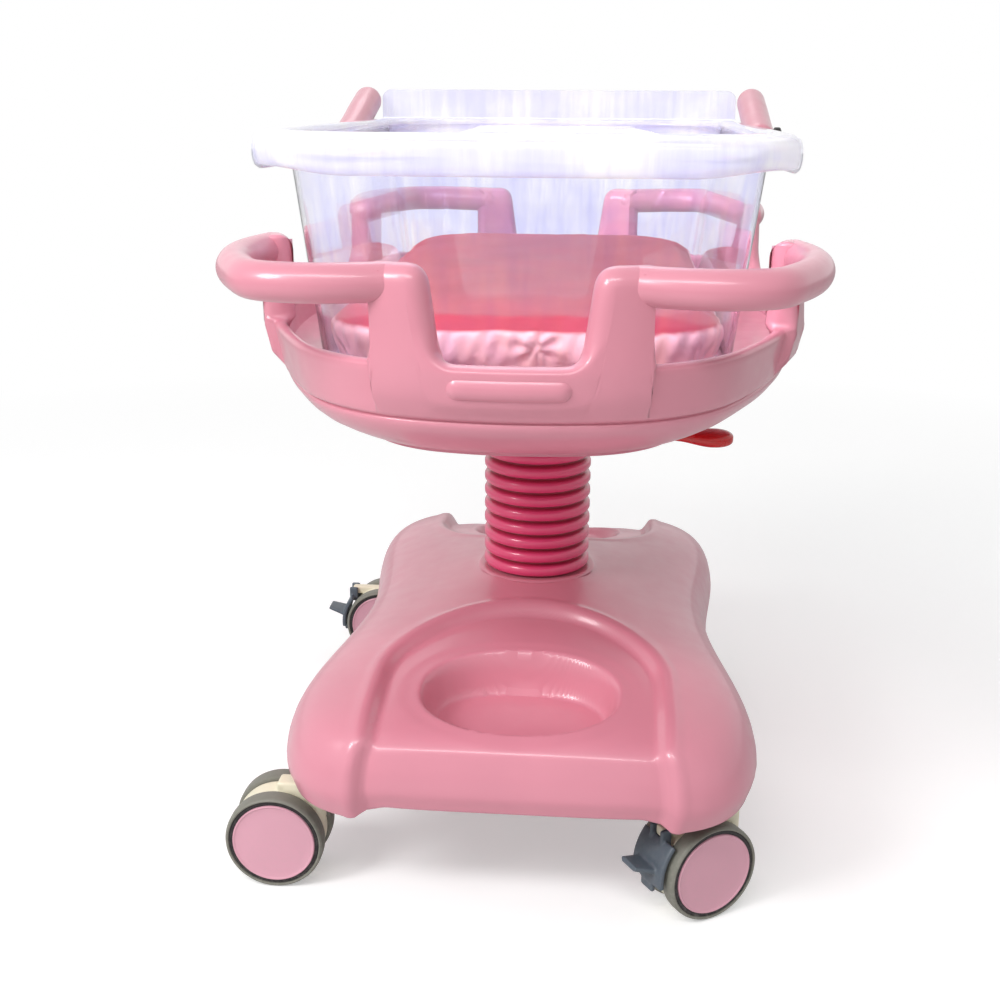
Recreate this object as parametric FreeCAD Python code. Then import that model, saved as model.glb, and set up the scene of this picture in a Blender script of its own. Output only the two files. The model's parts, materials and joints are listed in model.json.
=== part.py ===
import FreeCAD, Part
import math
import os

V = FreeCAD.Vector

# Hospital bassinet on a lifting column, in millimetres.
# +Z is up, +Y points to the head end, and the origin is on the floor under the column.

# ---------------------------------------------------------------- driving sizes
# Base cover and frame
BASE_BOTTOM_Z = 118.0
BASE_HALF_WIDTH = 236.0
BASE_HALF_LENGTH = 386.0
BASE_WALL = 4.0
BASE_WAIST = 0.13
BASE_TAPER = 0.04
RECESS_DEPTH = 12.0
COLLAR_RADIUS = 68.0
COLLAR_TOP_Z = 246.0
BOWL_HALF_WIDTH = 100.0
BOWL_HALF_LENGTH = 74.0
BOWL_CENTRE_Y = 271.0
BOWL_FLOOR_Z = 172.0
FRAME_TUBE = 25.0
FRAME_BOTTOM_Z = 124.0
FRAME_RAIL_X = 62.0
SOCKET_DIAMETER = 26.0
FOOT_PLATE_SIZE = 170.0
FOOT_PLATE_THICKNESS = 8.0
COLUMN_X = 18.5

# Casters
WHEEL_DIAMETER = 100.0
WHEEL_WIDTH = 20.0
TYRE_THICKNESS = 6.0
FRONT_STEM_INSET = 28.0
REAR_STEM_INSET = 40.0
STEM_INSET_Y = 101.0
FRONT_STEM_X = BASE_HALF_WIDTH - FRONT_STEM_INSET
REAR_STEM_X = BASE_HALF_WIDTH - REAR_STEM_INSET
STEM_Y = BASE_HALF_LENGTH - STEM_INSET_Y
CASTER_TRAIL = 36.0
WHEEL_GAP = 26.0
AXLE_DIAMETER = 10.0
STEM_DIAMETER = 12.0
STEM_COLLAR_DIAMETER = 25.0
HOOD_TOP_Z = 112.0
HOOD_RADIUS = 46.5
DISC_DISH = 1.5
DISC_EDGE = 3.0
FRONT_RIGHT_YAW = 32.0
PEDAL_LENGTH = 10.0
PEDAL_THICKNESS = 6.0
PEDAL_PIN_DIAMETER = 6.0
PEDAL_CLEARANCE = 2.5
PEDAL_PIVOT_CLEARANCE = 9.5
PEDAL_PIVOT_ANGLE = 46.0
PEDAL_LUG_HALF_WIDTH = 6.0
PEDAL_TONGUE_REACH = 26.0
PEDAL_TONGUE_RISE = 5.0
PEDAL_TONGUE_WIDTH = 30.0
PEDAL_TONGUE_THICKNESS = 7.0
PEDAL_TONGUE_TILT = -18.0

# Lifting column
OUTER_TUBE_DIAMETER = 76.0
COLUMN_WALL = 3.0
INNER_TUBE_DIAMETER = 60.0
BUSH_LENGTH = 20.0
LIFT_TRAVEL = 180.0
HEAD_PLATE_Z = 460.0
HEAD_PLATE_THICKNESS = 6.0
GAS_CYLINDER_DIAMETER = 28.0
GAS_ROD_DIAMETER = 10.0
BELLOWS_DIAMETER = 122.0
BELLOWS_ROOT_DIAMETER = 106.0
BELLOWS_WALL = 1.8
BELLOWS_FOLDS = 13
CLAMP_RING_HEIGHT = 10.0

# Tilt hinge
TILT_PIN_Z = 498.0
TILT_PIN_DIAMETER = 12.0
EAR_THICKNESS = 6.0
EAR_RADIUS = 15.0
HEAD_EAR_X = 30.0
EAR_GAP = 3.0

# Tray
TRAY_HALF_WIDTH = 268.0
TRAY_HALF_LENGTH = 437.0
TRAY_SIDE_RADIUS = 760.0
TRAY_END_RADIUS = 340.0
TRAY_CORNER_RADIUS = 165.0
TRAY_WALL = 5.0
TRAY_BOTTOM_Z = 478.0
SEAM_Z = 518.0
TRAY_FLOOR_Z = 528.0
TRAY_FLOOR_THICKNESS = 6.0
SILL_Z = 566.0
PAN_THICKNESS = 3.0
PAN_OPENING_DIAMETER = 170.0
PAN_SCREW_X = 120.0
PAN_SCREW_Y = 150.0
GRIP_DIAMETER = 32.0
GRIP_Z = 629.0
FRONT_POST_X = 88.0
POST_WIDTH = 42.0
SIDE_POST_Y = 214.0
LIP_HALF_WIDTH = 52.0
LIP_RADIUS = 12.0
LIP_Z = 550.0

# Release lever
LEVER_X = 175.0
LEVER_Y = 200.0
LEVER_Z = 452.0
LEVER_PADDLE_WIDTH = 34.0
LEVER_PADDLE_LENGTH = 46.0
LEVER_ROD_DIAMETER = 9.0
LEVER_THICKNESS = 16.0
LEVER_PIVOT_X = 96.0

# Tub
TUB_HALF_WIDTH = 212.0
TUB_HALF_LENGTH = 361.0
TUB_CORNER_RADIUS = 106.0
TUB_DRAFT = 22.0
TUB_WALL = 4.0
FLANGE_HALF_WIDTH = 234.0
FLANGE_HALF_LENGTH = 385.0
FLANGE_CORNER_RADIUS = 88.0
FLANGE_Z = 741.0
SKIRT_HEIGHT = 34.0
HEAD_PANEL_Z = 777.0
HEAD_PANEL_HALF_WIDTH = FLANGE_HALF_WIDTH + 2.0
HEAD_PANEL_ROUND = 12.0

# Mattress and head-end grips
MATTRESS_TOP_Z = 585.0
MATTRESS_CLEARANCE = 3.0
ARM_DIAMETER = 36.0
ARM_LOW_Y = FLANGE_HALF_LENGTH - 170.0
ARM_HIGH_Y = FLANGE_HALF_LENGTH - 35.0
ARM_RISE = 40.0
KNOB_DIAMETER = 26.0

# Clearances
SOFT_GAP = 0.3
RUNNING_FIT = 0.05
SLIDING_FIT = 0.1
SCREW_DIAMETER = 6.0

# ---------------------------------------------------------------- worked-out places
WHEEL_RADIUS = WHEEL_DIAMETER / 2
PAN_BOTTOM_Z = TRAY_BOTTOM_Z - PAN_THICKNESS
FRAME_TOP_Z = FRAME_BOTTOM_Z + FRAME_TUBE
FOOT_TOP_Z = FRAME_TOP_Z + FOOT_PLATE_THICKNESS
FLOOR_UNDERSIDE_Z = TRAY_FLOOR_Z - TRAY_FLOOR_THICKNESS
BELLOWS_BOTTOM_Z = COLLAR_TOP_Z
OUTER_TUBE_TOP_Z = HEAD_PLATE_Z - 30.0
INNER_TUBE_BOTTOM_Z = OUTER_TUBE_TOP_Z - LIFT_TRAVEL - 2 * BUSH_LENGTH - 30.0
TUB_BOTTOM_Z = TRAY_FLOOR_Z
TUB_FLOOR_Z = TUB_BOTTOM_Z + TUB_WALL
SILL_OFFSET = 10.0
BRAKED = ("front_right", "rear_left")

os.makedirs("parts", exist_ok=True)


# ---------------------------------------------------------------- general shapes
def save(name, shape):
    """Write one sub-part, checked for validity, with the column at its place in the plan."""
    shape = moved(shape, COLUMN_X, 0.0)
    if not shape.isValid():
        print("invalid shape:", name)
    shape.exportStep("parts/" + name + ".step")


def cylinder(radius, z0, z1, x=0.0, y=0.0):
    return Part.makeCylinder(radius, z1 - z0, V(x, y, z0))


def tube(outer_r, inner_r, z0, z1, x=0.0, y=0.0):
    return cylinder(outer_r, z0, z1, x, y).cut(cylinder(inner_r, z0 - 1, z1 + 1, x, y))


def box(x0, x1, y0, y1, z0, z1):
    return Part.makeBox(x1 - x0, y1 - y0, z1 - z0, V(x0, y0, z0))


def along_x(radius, x0, x1, y, z):
    return Part.makeCylinder(radius, x1 - x0, V(x0, y, z), V(1, 0, 0))


def along_y(radius, y0, y1, x, z):
    return Part.makeCylinder(radius, y1 - y0, V(x, y0, z), V(0, 1, 0))


def capsule(start, end, radius):
    """A round bar with ball ends between two points."""
    direction = end.sub(start)
    bar = Part.makeCylinder(radius, direction.Length, start, direction)
    return bar.fuse([Part.makeSphere(radius, start), Part.makeSphere(radius, end)]).removeSplitter()


def turned(shape, angle, centre=V(0, 0, 0), axis=V(0, 0, 1)):
    result = shape.copy()
    result.rotate(centre, axis, angle)
    return result


def moved(shape, x, y, z=0.0):
    result = shape.copy()
    result.translate(V(x, y, z))
    return result


def mirrored_x(shape):
    return shape.mirror(V(0, 0, 0), V(1, 0, 0))


def mirrored_y(shape):
    return shape.mirror(V(0, 0, 0), V(0, 1, 0))


def four_corners(shape):
    """The shape and its mirror images about both vertical mid-planes."""
    pair = [shape, mirrored_x(shape)]
    return pair + [mirrored_y(s) for s in pair]


def group(shapes):
    return Part.makeCompound(shapes)


# ---------------------------------------------------------------- plan outlines
def rounded_rectangle(half_w, half_l, radius, z):
    """A closed wire with four straight sides and four corner arcs."""
    cx, cy = half_w - radius, half_l - radius
    edges = []
    corners = [(cx, cy, 0), (-cx, cy, 90), (-cx, -cy, 180), (cx, -cy, 270)]
    ends = []
    for x, y, start in corners:
        points = []
        for angle in (start, start + 45, start + 90):
            a = math.radians(angle)
            points.append(V(x + radius * math.cos(a), y + radius * math.sin(a), z))
        ends.append(points)
    for i, points in enumerate(ends):
        edges.append(Part.Arc(*points).toShape())
        edges.append(Part.LineSegment(points[2], ends[(i + 1) % 4][0]).toShape())
    return Part.Wire(edges)


class Oval:
    """An oval of eight arcs: two sides, two ends and four corners, all tangent."""

    def __init__(self, half_w, half_l, side_r, end_r, corner_r):
        self.half_w, self.half_l = half_w, half_l
        self.side_r, self.end_r, self.corner_r = side_r, end_r, corner_r
        self.side_x = half_w - side_r
        self.end_y = half_l - end_r
        p, q = side_r - corner_r, end_r - corner_r
        d = math.hypot(self.side_x, self.end_y)
        a = (p * p - q * q + d * d) / (2 * d)
        h = math.sqrt(p * p - a * a)
        ux, uy = -self.side_x / d, self.end_y / d
        self.cx = self.side_x + a * ux + h * uy
        self.cy = a * uy - h * ux
        if self.cx < 0 or self.cy < 0:
            self.cx = self.side_x + a * ux - h * uy
            self.cy = a * uy + h * ux

    def joints(self, offset):
        """The two tangent points of the first quadrant."""
        ax = self.cx - self.side_x
        la = math.hypot(ax, self.cy)
        r1 = self.side_r + offset
        one = (self.side_x + r1 * ax / la, r1 * self.cy / la)
        ey = self.cy - self.end_y
        le = math.hypot(self.cx, ey)
        r2 = self.end_r + offset
        two = (r2 * self.cx / le, self.end_y + r2 * ey / le)
        return one, two

    def middle(self, offset):
        one, two = self.joints(offset)
        dx = (one[0] + two[0]) / 2 - self.cx
        dy = (one[1] + two[1]) / 2 - self.cy
        k = (self.corner_r + offset) / math.hypot(dx, dy)
        return self.cx + dx * k, self.cy + dy * k

    def wire(self, offset, z):
        one, two = self.joints(offset)
        mid = self.middle(offset)
        side = (self.half_w + offset, 0.0)
        end = (0.0, self.half_l + offset)

        def at(point, sx, sy):
            return V(point[0] * sx, point[1] * sy, z)

        arcs = [
            (at(one, 1, -1), at(side, 1, 1), at(one, 1, 1)),
            (at(one, 1, 1), at(mid, 1, 1), at(two, 1, 1)),
            (at(two, 1, 1), at(end, 1, 1), at(two, -1, 1)),
            (at(two, -1, 1), at(mid, -1, 1), at(one, -1, 1)),
            (at(one, -1, 1), at(side, -1, 1), at(one, -1, -1)),
            (at(one, -1, -1), at(mid, -1, -1), at(two, -1, -1)),
            (at(two, -1, -1), at(end, 1, -1), at(two, 1, -1)),
            (at(two, 1, -1), at(mid, 1, -1), at(one, 1, -1)),
        ]
        return Part.Wire([Part.Arc(*points).toShape() for points in arcs])

    def solid(self, profile):
        """A solid lofted through (height, offset) pairs."""
        wires = [self.wire(offset, z) for z, offset in profile]
        return Part.makeLoft(wires, True, True)

    def x_at(self, y, offset):
        one, _ = self.joints(offset)
        if abs(y) <= one[1]:
            return self.side_x + math.sqrt((self.side_r + offset) ** 2 - y * y)
        return self.cx + math.sqrt((self.corner_r + offset) ** 2 - (abs(y) - self.cy) ** 2)

    def y_at(self, x, offset):
        _, two = self.joints(offset)
        if abs(x) <= two[0]:
            return self.end_y + math.sqrt((self.end_r + offset) ** 2 - x * x)
        return self.cy + math.sqrt((self.corner_r + offset) ** 2 - (abs(x) - self.cx) ** 2)


TRAY_PLAN = Oval(TRAY_HALF_WIDTH, TRAY_HALF_LENGTH, TRAY_SIDE_RADIUS, TRAY_END_RADIUS,
                 TRAY_CORNER_RADIUS)


# ---------------------------------------------------------------- casters
def wheel_ring(outer_r, inner_r, y0, y1, round_r):
    """A ring about the Y axis with rounded outer edges, as a tyre or a rim."""
    ring = along_y(outer_r, y0, y1, 0, 0)
    outer = [e for e in ring.Edges if abs(e.Length - 2 * math.pi * outer_r) < 0.01]
    ring = ring.makeFillet(round_r, outer)
    return ring.cut(along_y(inner_r, y0 - 1, y1 + 1, 0, 0))


def caster_parts(braked):
    """One caster at the origin of its stem, trailing towards -X, axle along Y."""
    half_gap = WHEEL_GAP / 2
    axle_r = AXLE_DIAMETER / 2
    hub_r = WHEEL_RADIUS - TYRE_THICKNESS
    centre = (-CASTER_TRAIL, 0.0, WHEEL_RADIUS)
    parts = {}
    for side, sign in (("near", -1), ("far", 1)):
        y0, y1 = sorted((sign * half_gap, sign * (half_gap + WHEEL_WIDTH)))
        tyre = wheel_ring(WHEEL_RADIUS, hub_r, y0, y1, WHEEL_WIDTH / 4)
        disc = along_y(hub_r, y0, y1, 0, 0)
        outer_y = sign * (half_gap + WHEEL_WIDTH)
        dish_y0, dish_y1 = sorted((outer_y, outer_y - sign * DISC_DISH))
        disc = disc.cut(along_y(hub_r - DISC_EDGE, dish_y0, dish_y1, 0, 0))
        bore_end = outer_y - sign * WHEEL_WIDTH / 4
        b0, b1 = sorted((sign * (half_gap - 1), bore_end))
        disc = disc.cut(along_y(axle_r + RUNNING_FIT, b0, b1, 0, 0))
        parts["tyre_" + side] = moved(tyre, *centre)
        parts["disc_" + side] = moved(disc, *centre)
    axle_end = half_gap + WHEEL_WIDTH * 3 / 4 - 0.5
    axle = along_y(axle_r, -axle_end, axle_end, 0, 0)
    parts["axle"] = moved(axle, *centre)

    hood_half = half_gap - SOFT_GAP
    plate = along_y(HOOD_RADIUS, -hood_half, hood_half, 0, 0)
    plate = moved(plate, *centre)
    boss = cylinder(STEM_COLLAR_DIAMETER / 2 - 0.5, WHEEL_RADIUS, HOOD_TOP_Z)
    web = box(-CASTER_TRAIL, 0, -hood_half + 2, hood_half - 2, WHEEL_RADIUS, HOOD_TOP_Z - 6)
    hood = plate.fuse([boss.common(box(-20, 20, -hood_half, hood_half, 0, HOOD_TOP_Z)), web])
    hood = hood.fuse(cylinder(STEM_COLLAR_DIAMETER / 2 - 0.5, HOOD_TOP_Z - 6, HOOD_TOP_Z))
    hood = hood.cut(cylinder(STEM_DIAMETER / 2 + RUNNING_FIT, WHEEL_RADIUS + 12, HOOD_TOP_Z + 1))
    hood = hood.cut(moved(axle, *centre))
    if braked:
        lug, bore = hood_ear()
        hood = hood.fuse(lug).cut(bore)
    hood = hood.removeSplitter()
    parts["hood"] = hood

    stem = cylinder(STEM_DIAMETER / 2, WHEEL_RADIUS + 13, FRAME_TOP_Z)
    collar = cylinder(STEM_COLLAR_DIAMETER / 2, HOOD_TOP_Z + SOFT_GAP, FRAME_BOTTOM_Z)
    parts["stem"] = stem.fuse(collar).removeSplitter()
    return parts


def pedal_pivot():
    """The pedal's hinge in the caster's own plane: above and behind the wheels."""
    reach = WHEEL_RADIUS + PEDAL_PIVOT_CLEARANCE
    angle = math.radians(PEDAL_PIVOT_ANGLE)
    return -CASTER_TRAIL - reach * math.cos(angle), WHEEL_RADIUS + reach * math.sin(angle)


def hood_ear():
    """The hood's lug that carries the pedal's pin."""
    x, z = pedal_pivot()
    half = PEDAL_LUG_HALF_WIDTH
    eye = along_y(PEDAL_PIN_DIAMETER / 2 + 4, -half, half, x, z)
    bar = box(x, -CASTER_TRAIL, -half, half, z - 6, z + 6)
    return eye.fuse(bar), along_y(PEDAL_PIN_DIAMETER / 2 + RUNNING_FIT, -half - 1, half + 1, x, z)


def brake_pedal():
    """A foot brake at the trailing end: a curved pad over both wheels, on its own pin."""
    x, z = pedal_pivot()
    half_width = WHEEL_GAP / 2 + WHEEL_WIDTH * 0.6
    inner_r = WHEEL_RADIUS + PEDAL_CLEARANCE
    outer = along_y(inner_r + PEDAL_THICKNESS, -half_width, half_width, -CASTER_TRAIL, WHEEL_RADIUS)
    inner = along_y(inner_r, -half_width - 1, half_width + 1, -CASTER_TRAIL, WHEEL_RADIUS)
    low = box(-CASTER_TRAIL - 80, x + 8, -half_width - 1, half_width + 1,
              WHEEL_RADIUS - PEDAL_LENGTH, z - 9)
    pad = outer.cut(inner).common(low)
    tongue_x = -CASTER_TRAIL - inner_r - PEDAL_THICKNESS / 2
    tongue_half = PEDAL_TONGUE_WIDTH / 2
    tongue = box(tongue_x - PEDAL_TONGUE_REACH, tongue_x, -tongue_half, tongue_half,
                 WHEEL_RADIUS + PEDAL_TONGUE_RISE,
                 WHEEL_RADIUS + PEDAL_TONGUE_RISE + PEDAL_TONGUE_THICKNESS)
    corners = [e for e in tongue.Edges
               if e.BoundBox.XMax < tongue_x - 1 and e.BoundBox.ZLength > PEDAL_TONGUE_THICKNESS / 2]
    tongue = tongue.makeFillet(tongue_half * 0.7, corners)
    tongue = turned(tongue, PEDAL_TONGUE_TILT,
                    V(tongue_x, 0, WHEEL_RADIUS + PEDAL_TONGUE_RISE), V(0, 1, 0))
    tongue = tongue.cut(inner)
    cheeks = []
    for sign in (1, -1):
        y0, y1 = sorted((sign * (PEDAL_LUG_HALF_WIDTH + 0.5), sign * (PEDAL_LUG_HALF_WIDTH + 5)))
        eye = along_y(PEDAL_PIN_DIAMETER / 2 + 4, y0, y1, x, z)
        leg = box(x - 8, x, y0, y1, z - 14, z)
        cheeks.append(eye.fuse(leg.cut(inner)))
    pin_half = PEDAL_LUG_HALF_WIDTH + 5
    pin = along_y(PEDAL_PIN_DIAMETER / 2, -pin_half, pin_half, x, z)
    return pad.fuse([tongue] + cheeks + [pin])


# ---------------------------------------------------------------- base
BASE_SECTIONS = [
    # height above the bottom edge, shares of the half width, of the half length to the front
    # and to the rear, squareness, recess half-width
    (0.0, 0.985, 0.985, 0.985, 5.2, 156.0),
    (26.0, 1.0, 1.0, 0.998, 5.4, 154.0),
    (58.0, 0.968, 0.985, 0.968, 5.2, 150.0),
    (80.0, 0.90, 0.955, 0.875, 4.7, 142.0),
    (95.0, 0.775, 0.865, 0.735, 3.7, 124.0),
    (107.0, 0.60, 0.655, 0.535, 2.9, 100.0),
    (116.0, 0.445, 0.44, 0.385, 2.5, 80.0),
    (123.0, 0.34, 0.27, 0.27, 2.1, 0.0),
]
SECTION_POINTS = 96


def smooth(t):
    t = min(1.0, max(0.0, t))
    return t * t * (3 - 2 * t)


def base_section(z, half_w, front_l, rear_l, power, recess_half, inset):
    """A closed spline: a squarish oval, waisted, tapered to the rear and recessed at both ends."""
    points = []
    waist_y = STEM_Y
    for i in range(SECTION_POINTS):
        a = 2 * math.pi * i / SECTION_POINTS
        c, s = math.cos(a), math.sin(a)
        x = math.copysign(abs(c) ** (2 / power), c) * (half_w - inset)
        half_l = front_l if s < 0 else rear_l
        y = math.copysign(abs(s) ** (2 / power), s) * (half_l - inset)
        near = max(0.0, 1 - (y / waist_y) ** 2)
        x *= (1 - BASE_WAIST * near * near) * (1 - BASE_TAPER * y / BASE_HALF_LENGTH)
        if recess_half > 0:
            depth = RECESS_DEPTH * smooth((recess_half + 8 - abs(x)) / 16)
            depth *= smooth(abs(y) / half_l * 2.5)
            y -= math.copysign(min(depth, abs(y)), y)
        points.append(V(x, y, z))
    curve = Part.BSplineCurve()
    curve.interpolate(points, PeriodicFlag=True)
    return Part.Wire([curve.toShape()])


def base_solid(inset, lower, drop):
    """The base's outer form, or its inner form when inset and dropped by the wall."""
    wires = []
    for rise, share_w, share_front, share_rear, power, recess in BASE_SECTIONS:
        z = BASE_BOTTOM_Z + rise - drop
        if rise == 0.0:
            z = BASE_BOTTOM_Z - lower
        wires.append(base_section(z, BASE_HALF_WIDTH * share_w, BASE_HALF_LENGTH * share_front,
                                  BASE_HALF_LENGTH * share_rear, power, recess, inset))
    last = wires[-1].BoundBox.ZMax
    top = COLLAR_TOP_Z - drop
    radius = COLLAR_RADIUS - inset
    circle = []
    for i in range(SECTION_POINTS):
        a = 2 * math.pi * i / SECTION_POINTS
        circle.append(V(radius * math.cos(a), radius * math.sin(a), max(top, last + 1)))
    curve = Part.BSplineCurve()
    curve.interpolate(circle, PeriodicFlag=True)
    wires.append(Part.Wire([curve.toShape()]))
    return Part.makeLoft(wires, True, False)


def bowl_form(grow, z_floor, z_top):
    """An oval dish form, wider towards its mouth."""
    wires = []
    rise = z_top - z_floor
    levels = [(0.0, 0.74), (0.08, 0.86), (0.35, 0.94), (1.0, 1.0)]
    for share, scale in levels:
        a = BOWL_HALF_LENGTH * scale + grow
        b = BOWL_HALF_WIDTH * scale + grow
        z = z_floor + rise * share
        ellipse = Part.Ellipse(V(0, -BOWL_CENTRE_Y, z), b, a)
        wires.append(Part.Wire([ellipse.toShape()]))
    return Part.makeLoft(wires, True, True)


def base_cover():
    outer = base_solid(0.0, 0.0, 0.0)
    inner = base_solid(BASE_WALL, 1.0, BASE_WALL)
    shell = outer.cut(inner)
    bowl_top = COLLAR_TOP_Z - 4
    liner = bowl_form(BASE_WALL, BOWL_FLOOR_Z - BASE_WALL, bowl_top).common(outer)
    cavity = bowl_form(0.0, BOWL_FLOOR_Z, bowl_top)
    shell = shell.fuse([liner, mirrored_y(liner)])
    shell = shell.cut([cavity, mirrored_y(cavity)])
    throat = cylinder(BELLOWS_ROOT_DIAMETER / 2 - 6, BASE_BOTTOM_Z, COLLAR_TOP_Z + 5)
    shell = shell.cut(throat)
    for x, y in cover_screw_places():
        boss = cylinder(SCREW_DIAMETER, FRAME_TOP_Z, FRAME_TOP_Z + 80, x, y).common(outer)
        hole = cylinder(SCREW_DIAMETER / 2, FRAME_TOP_Z - 1, FRAME_TOP_Z + 12, x, y)
        shell = shell.fuse(boss).cut(hole)
    return shell


def stem_x(sy):
    """How far the caster stems stand from the column at the front (-1) or the rear (1)."""
    return FRONT_STEM_X if sy < 0 else REAR_STEM_X


def cover_screw_places():
    return [(sx * (stem_x(sy) - SOCKET_DIAMETER - 10), sy * STEM_Y)
            for sx in (1, -1) for sy in (1, -1)]


def base_frame():
    """Two cross tubes with caster sockets, two rails and the column's foot plate."""
    half = FRAME_TUBE / 2
    bars = []
    for sign in (1, -1):
        y = sign * STEM_Y
        bars.append(box(-stem_x(sign), stem_x(sign), y - half, y + half,
                        FRAME_BOTTOM_Z, FRAME_TOP_Z))
        x = sign * FRAME_RAIL_X
        bars.append(box(x - half, x + half, -STEM_Y, STEM_Y, FRAME_BOTTOM_Z, FRAME_TOP_Z))
    for sx in (1, -1):
        for sy in (1, -1):
            bars.append(cylinder(SOCKET_DIAMETER / 2, FRAME_BOTTOM_Z, FRAME_TOP_Z,
                                 sx * stem_x(sy), sy * STEM_Y))
    plate_half = FOOT_PLATE_SIZE / 2
    bars.append(box(-plate_half, plate_half, -plate_half, plate_half, FRAME_TOP_Z, FOOT_TOP_Z))
    frame = bars[0].fuse(bars[1:]).removeSplitter()
    for sx in (1, -1):
        for sy in (1, -1):
            frame = frame.cut(cylinder(STEM_DIAMETER / 2, FRAME_BOTTOM_Z - 1, FRAME_TOP_Z + 1,
                                       sx * stem_x(sy), sy * STEM_Y))
    for x, y in cover_screw_places():
        frame = frame.cut(cylinder(SCREW_DIAMETER / 2, FRAME_BOTTOM_Z - 1, FRAME_TOP_Z + 1, x, y))
    return frame


def screw(x, y, z_head, length, up=True):
    """A pan-head screw: shank upwards from its head, or downwards."""
    head_h = SCREW_DIAMETER / 2
    if up:
        shank = cylinder(SCREW_DIAMETER / 2, z_head, z_head + length, x, y)
        head = cylinder(SCREW_DIAMETER, z_head - head_h, z_head, x, y)
    else:
        shank = cylinder(SCREW_DIAMETER / 2, z_head - length, z_head, x, y)
        head = cylinder(SCREW_DIAMETER, z_head, z_head + head_h, x, y)
    return shank.fuse(head).removeSplitter()


def base_screws():
    return group([screw(x, y, FRAME_BOTTOM_Z, FRAME_TUBE + 10) for x, y in cover_screw_places()])


# ---------------------------------------------------------------- column
def column():
    parts = {}
    outer_r, inner_r = OUTER_TUBE_DIAMETER / 2, INNER_TUBE_DIAMETER / 2
    bore = outer_r - COLUMN_WALL
    parts["column_outer_tube"] = tube(outer_r, bore, FOOT_TOP_Z, OUTER_TUBE_TOP_Z)
    parts["column_upper_bush"] = tube(bore, inner_r + SLIDING_FIT,
                                      OUTER_TUBE_TOP_Z - BUSH_LENGTH, OUTER_TUBE_TOP_Z)
    parts["column_inner_tube"] = tube(inner_r, inner_r - COLUMN_WALL,
                                      INNER_TUBE_BOTTOM_Z, HEAD_PLATE_Z)
    parts["column_lower_bush"] = tube(bore - SLIDING_FIT, inner_r,
                                      INNER_TUBE_BOTTOM_Z, INNER_TUBE_BOTTOM_Z + BUSH_LENGTH)
    gas_r, rod_r = GAS_CYLINDER_DIAMETER / 2, GAS_ROD_DIAMETER / 2
    gas_top = HEAD_PLATE_Z - 24
    gas_bore = gas_r - 3
    body = cylinder(gas_r, FOOT_TOP_Z, gas_top)
    body = body.cut(cylinder(gas_bore, FOOT_TOP_Z + 8, gas_top - 12))
    body = body.cut(cylinder(rod_r + RUNNING_FIT, gas_top - 13, gas_top + 1))
    parts["gas_spring_cylinder"] = body
    piston_z = FOOT_TOP_Z + 14
    rod = cylinder(rod_r, piston_z, HEAD_PLATE_Z)
    parts["gas_spring_rod"] = rod.fuse(cylinder(gas_bore - SLIDING_FIT, piston_z,
                                                piston_z + 10)).removeSplitter()
    parts["column_head"] = column_head()
    parts["bellows"] = bellows()
    ring_r = BELLOWS_ROOT_DIAMETER / 2 - BELLOWS_WALL - 0.5
    parts["bellows_clamp_ring"] = tube(ring_r, ring_r - 6, COLLAR_TOP_Z,
                                       COLLAR_TOP_Z + CLAMP_RING_HEIGHT)
    return parts


def ear(x0, x1, z_low, z_high, z_pin, bore_r):
    """A hinge ear across X, round about its pin, reaching from z_low to z_high."""
    round_end = along_x(EAR_RADIUS, x0, x1, 0, z_pin)
    leg = box(x0, x1, -EAR_RADIUS, EAR_RADIUS, min(z_low, z_pin), max(z_high, z_pin))
    return leg.fuse(round_end).removeSplitter().cut(along_x(bore_r, x0 - 1, x1 + 1, 0, z_pin))


def column_head():
    top = HEAD_PLATE_Z + HEAD_PLATE_THICKNESS
    plate = cylinder(BELLOWS_DIAMETER / 2, HEAD_PLATE_Z, top)
    bore_r = TILT_PIN_DIAMETER / 2 + RUNNING_FIT
    ears = []
    for sign in (1, -1):
        x0, x1 = sorted((sign * HEAD_EAR_X, sign * (HEAD_EAR_X + EAR_THICKNESS)))
        ears.append(ear(x0, x1, top, TILT_PIN_Z, TILT_PIN_Z, bore_r))
    return plate.fuse(ears).removeSplitter()


def bellows():
    """A folded sleeve, revolved from a toothed wall outline."""
    top = HEAD_PLATE_Z
    pitch = (top - BELLOWS_BOTTOM_Z) / BELLOWS_FOLDS
    crest, root = BELLOWS_DIAMETER / 2, BELLOWS_ROOT_DIAMETER / 2
    outer = []
    for i in range(BELLOWS_FOLDS):
        z = BELLOWS_BOTTOM_Z + i * pitch
        outer.append((root, z))
        outer.append((crest, z + pitch * 0.22))
        outer.append((crest, z + pitch * 0.78))
    outer.append((root, top))
    points = [V(r, 0, z) for r, z in outer]
    points += [V(r - BELLOWS_WALL, 0, z) for r, z in reversed(outer)]
    face = Part.Face(Part.makePolygon(points + [points[0]]))
    return face.revolve(V(0, 0, 0), V(0, 0, 1), 360)


# ---------------------------------------------------------------- tilt bracket and lever
def tilt_bracket():
    bore_r = TILT_PIN_DIAMETER / 2
    plate_z = FLOOR_UNDERSIDE_Z - 5.0
    inner_x = HEAD_EAR_X + EAR_THICKNESS + EAR_GAP
    half = inner_x + EAR_THICKNESS + 22
    plate = box(-half, half, -40, 40, plate_z, FLOOR_UNDERSIDE_Z)
    ears = []
    for sign in (1, -1):
        x0, x1 = sorted((sign * inner_x, sign * (inner_x + EAR_THICKNESS)))
        ears.append(ear(x0, x1, TILT_PIN_Z, plate_z, TILT_PIN_Z, bore_r))
    return plate.fuse(ears).removeSplitter()


def tilt_pin():
    half = HEAD_EAR_X + EAR_THICKNESS * 2 + EAR_GAP + 3
    return along_x(TILT_PIN_DIAMETER / 2, -half, half, 0, TILT_PIN_Z)


def lever_pivot_z():
    return PAN_BOTTOM_Z - 14.0


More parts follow.
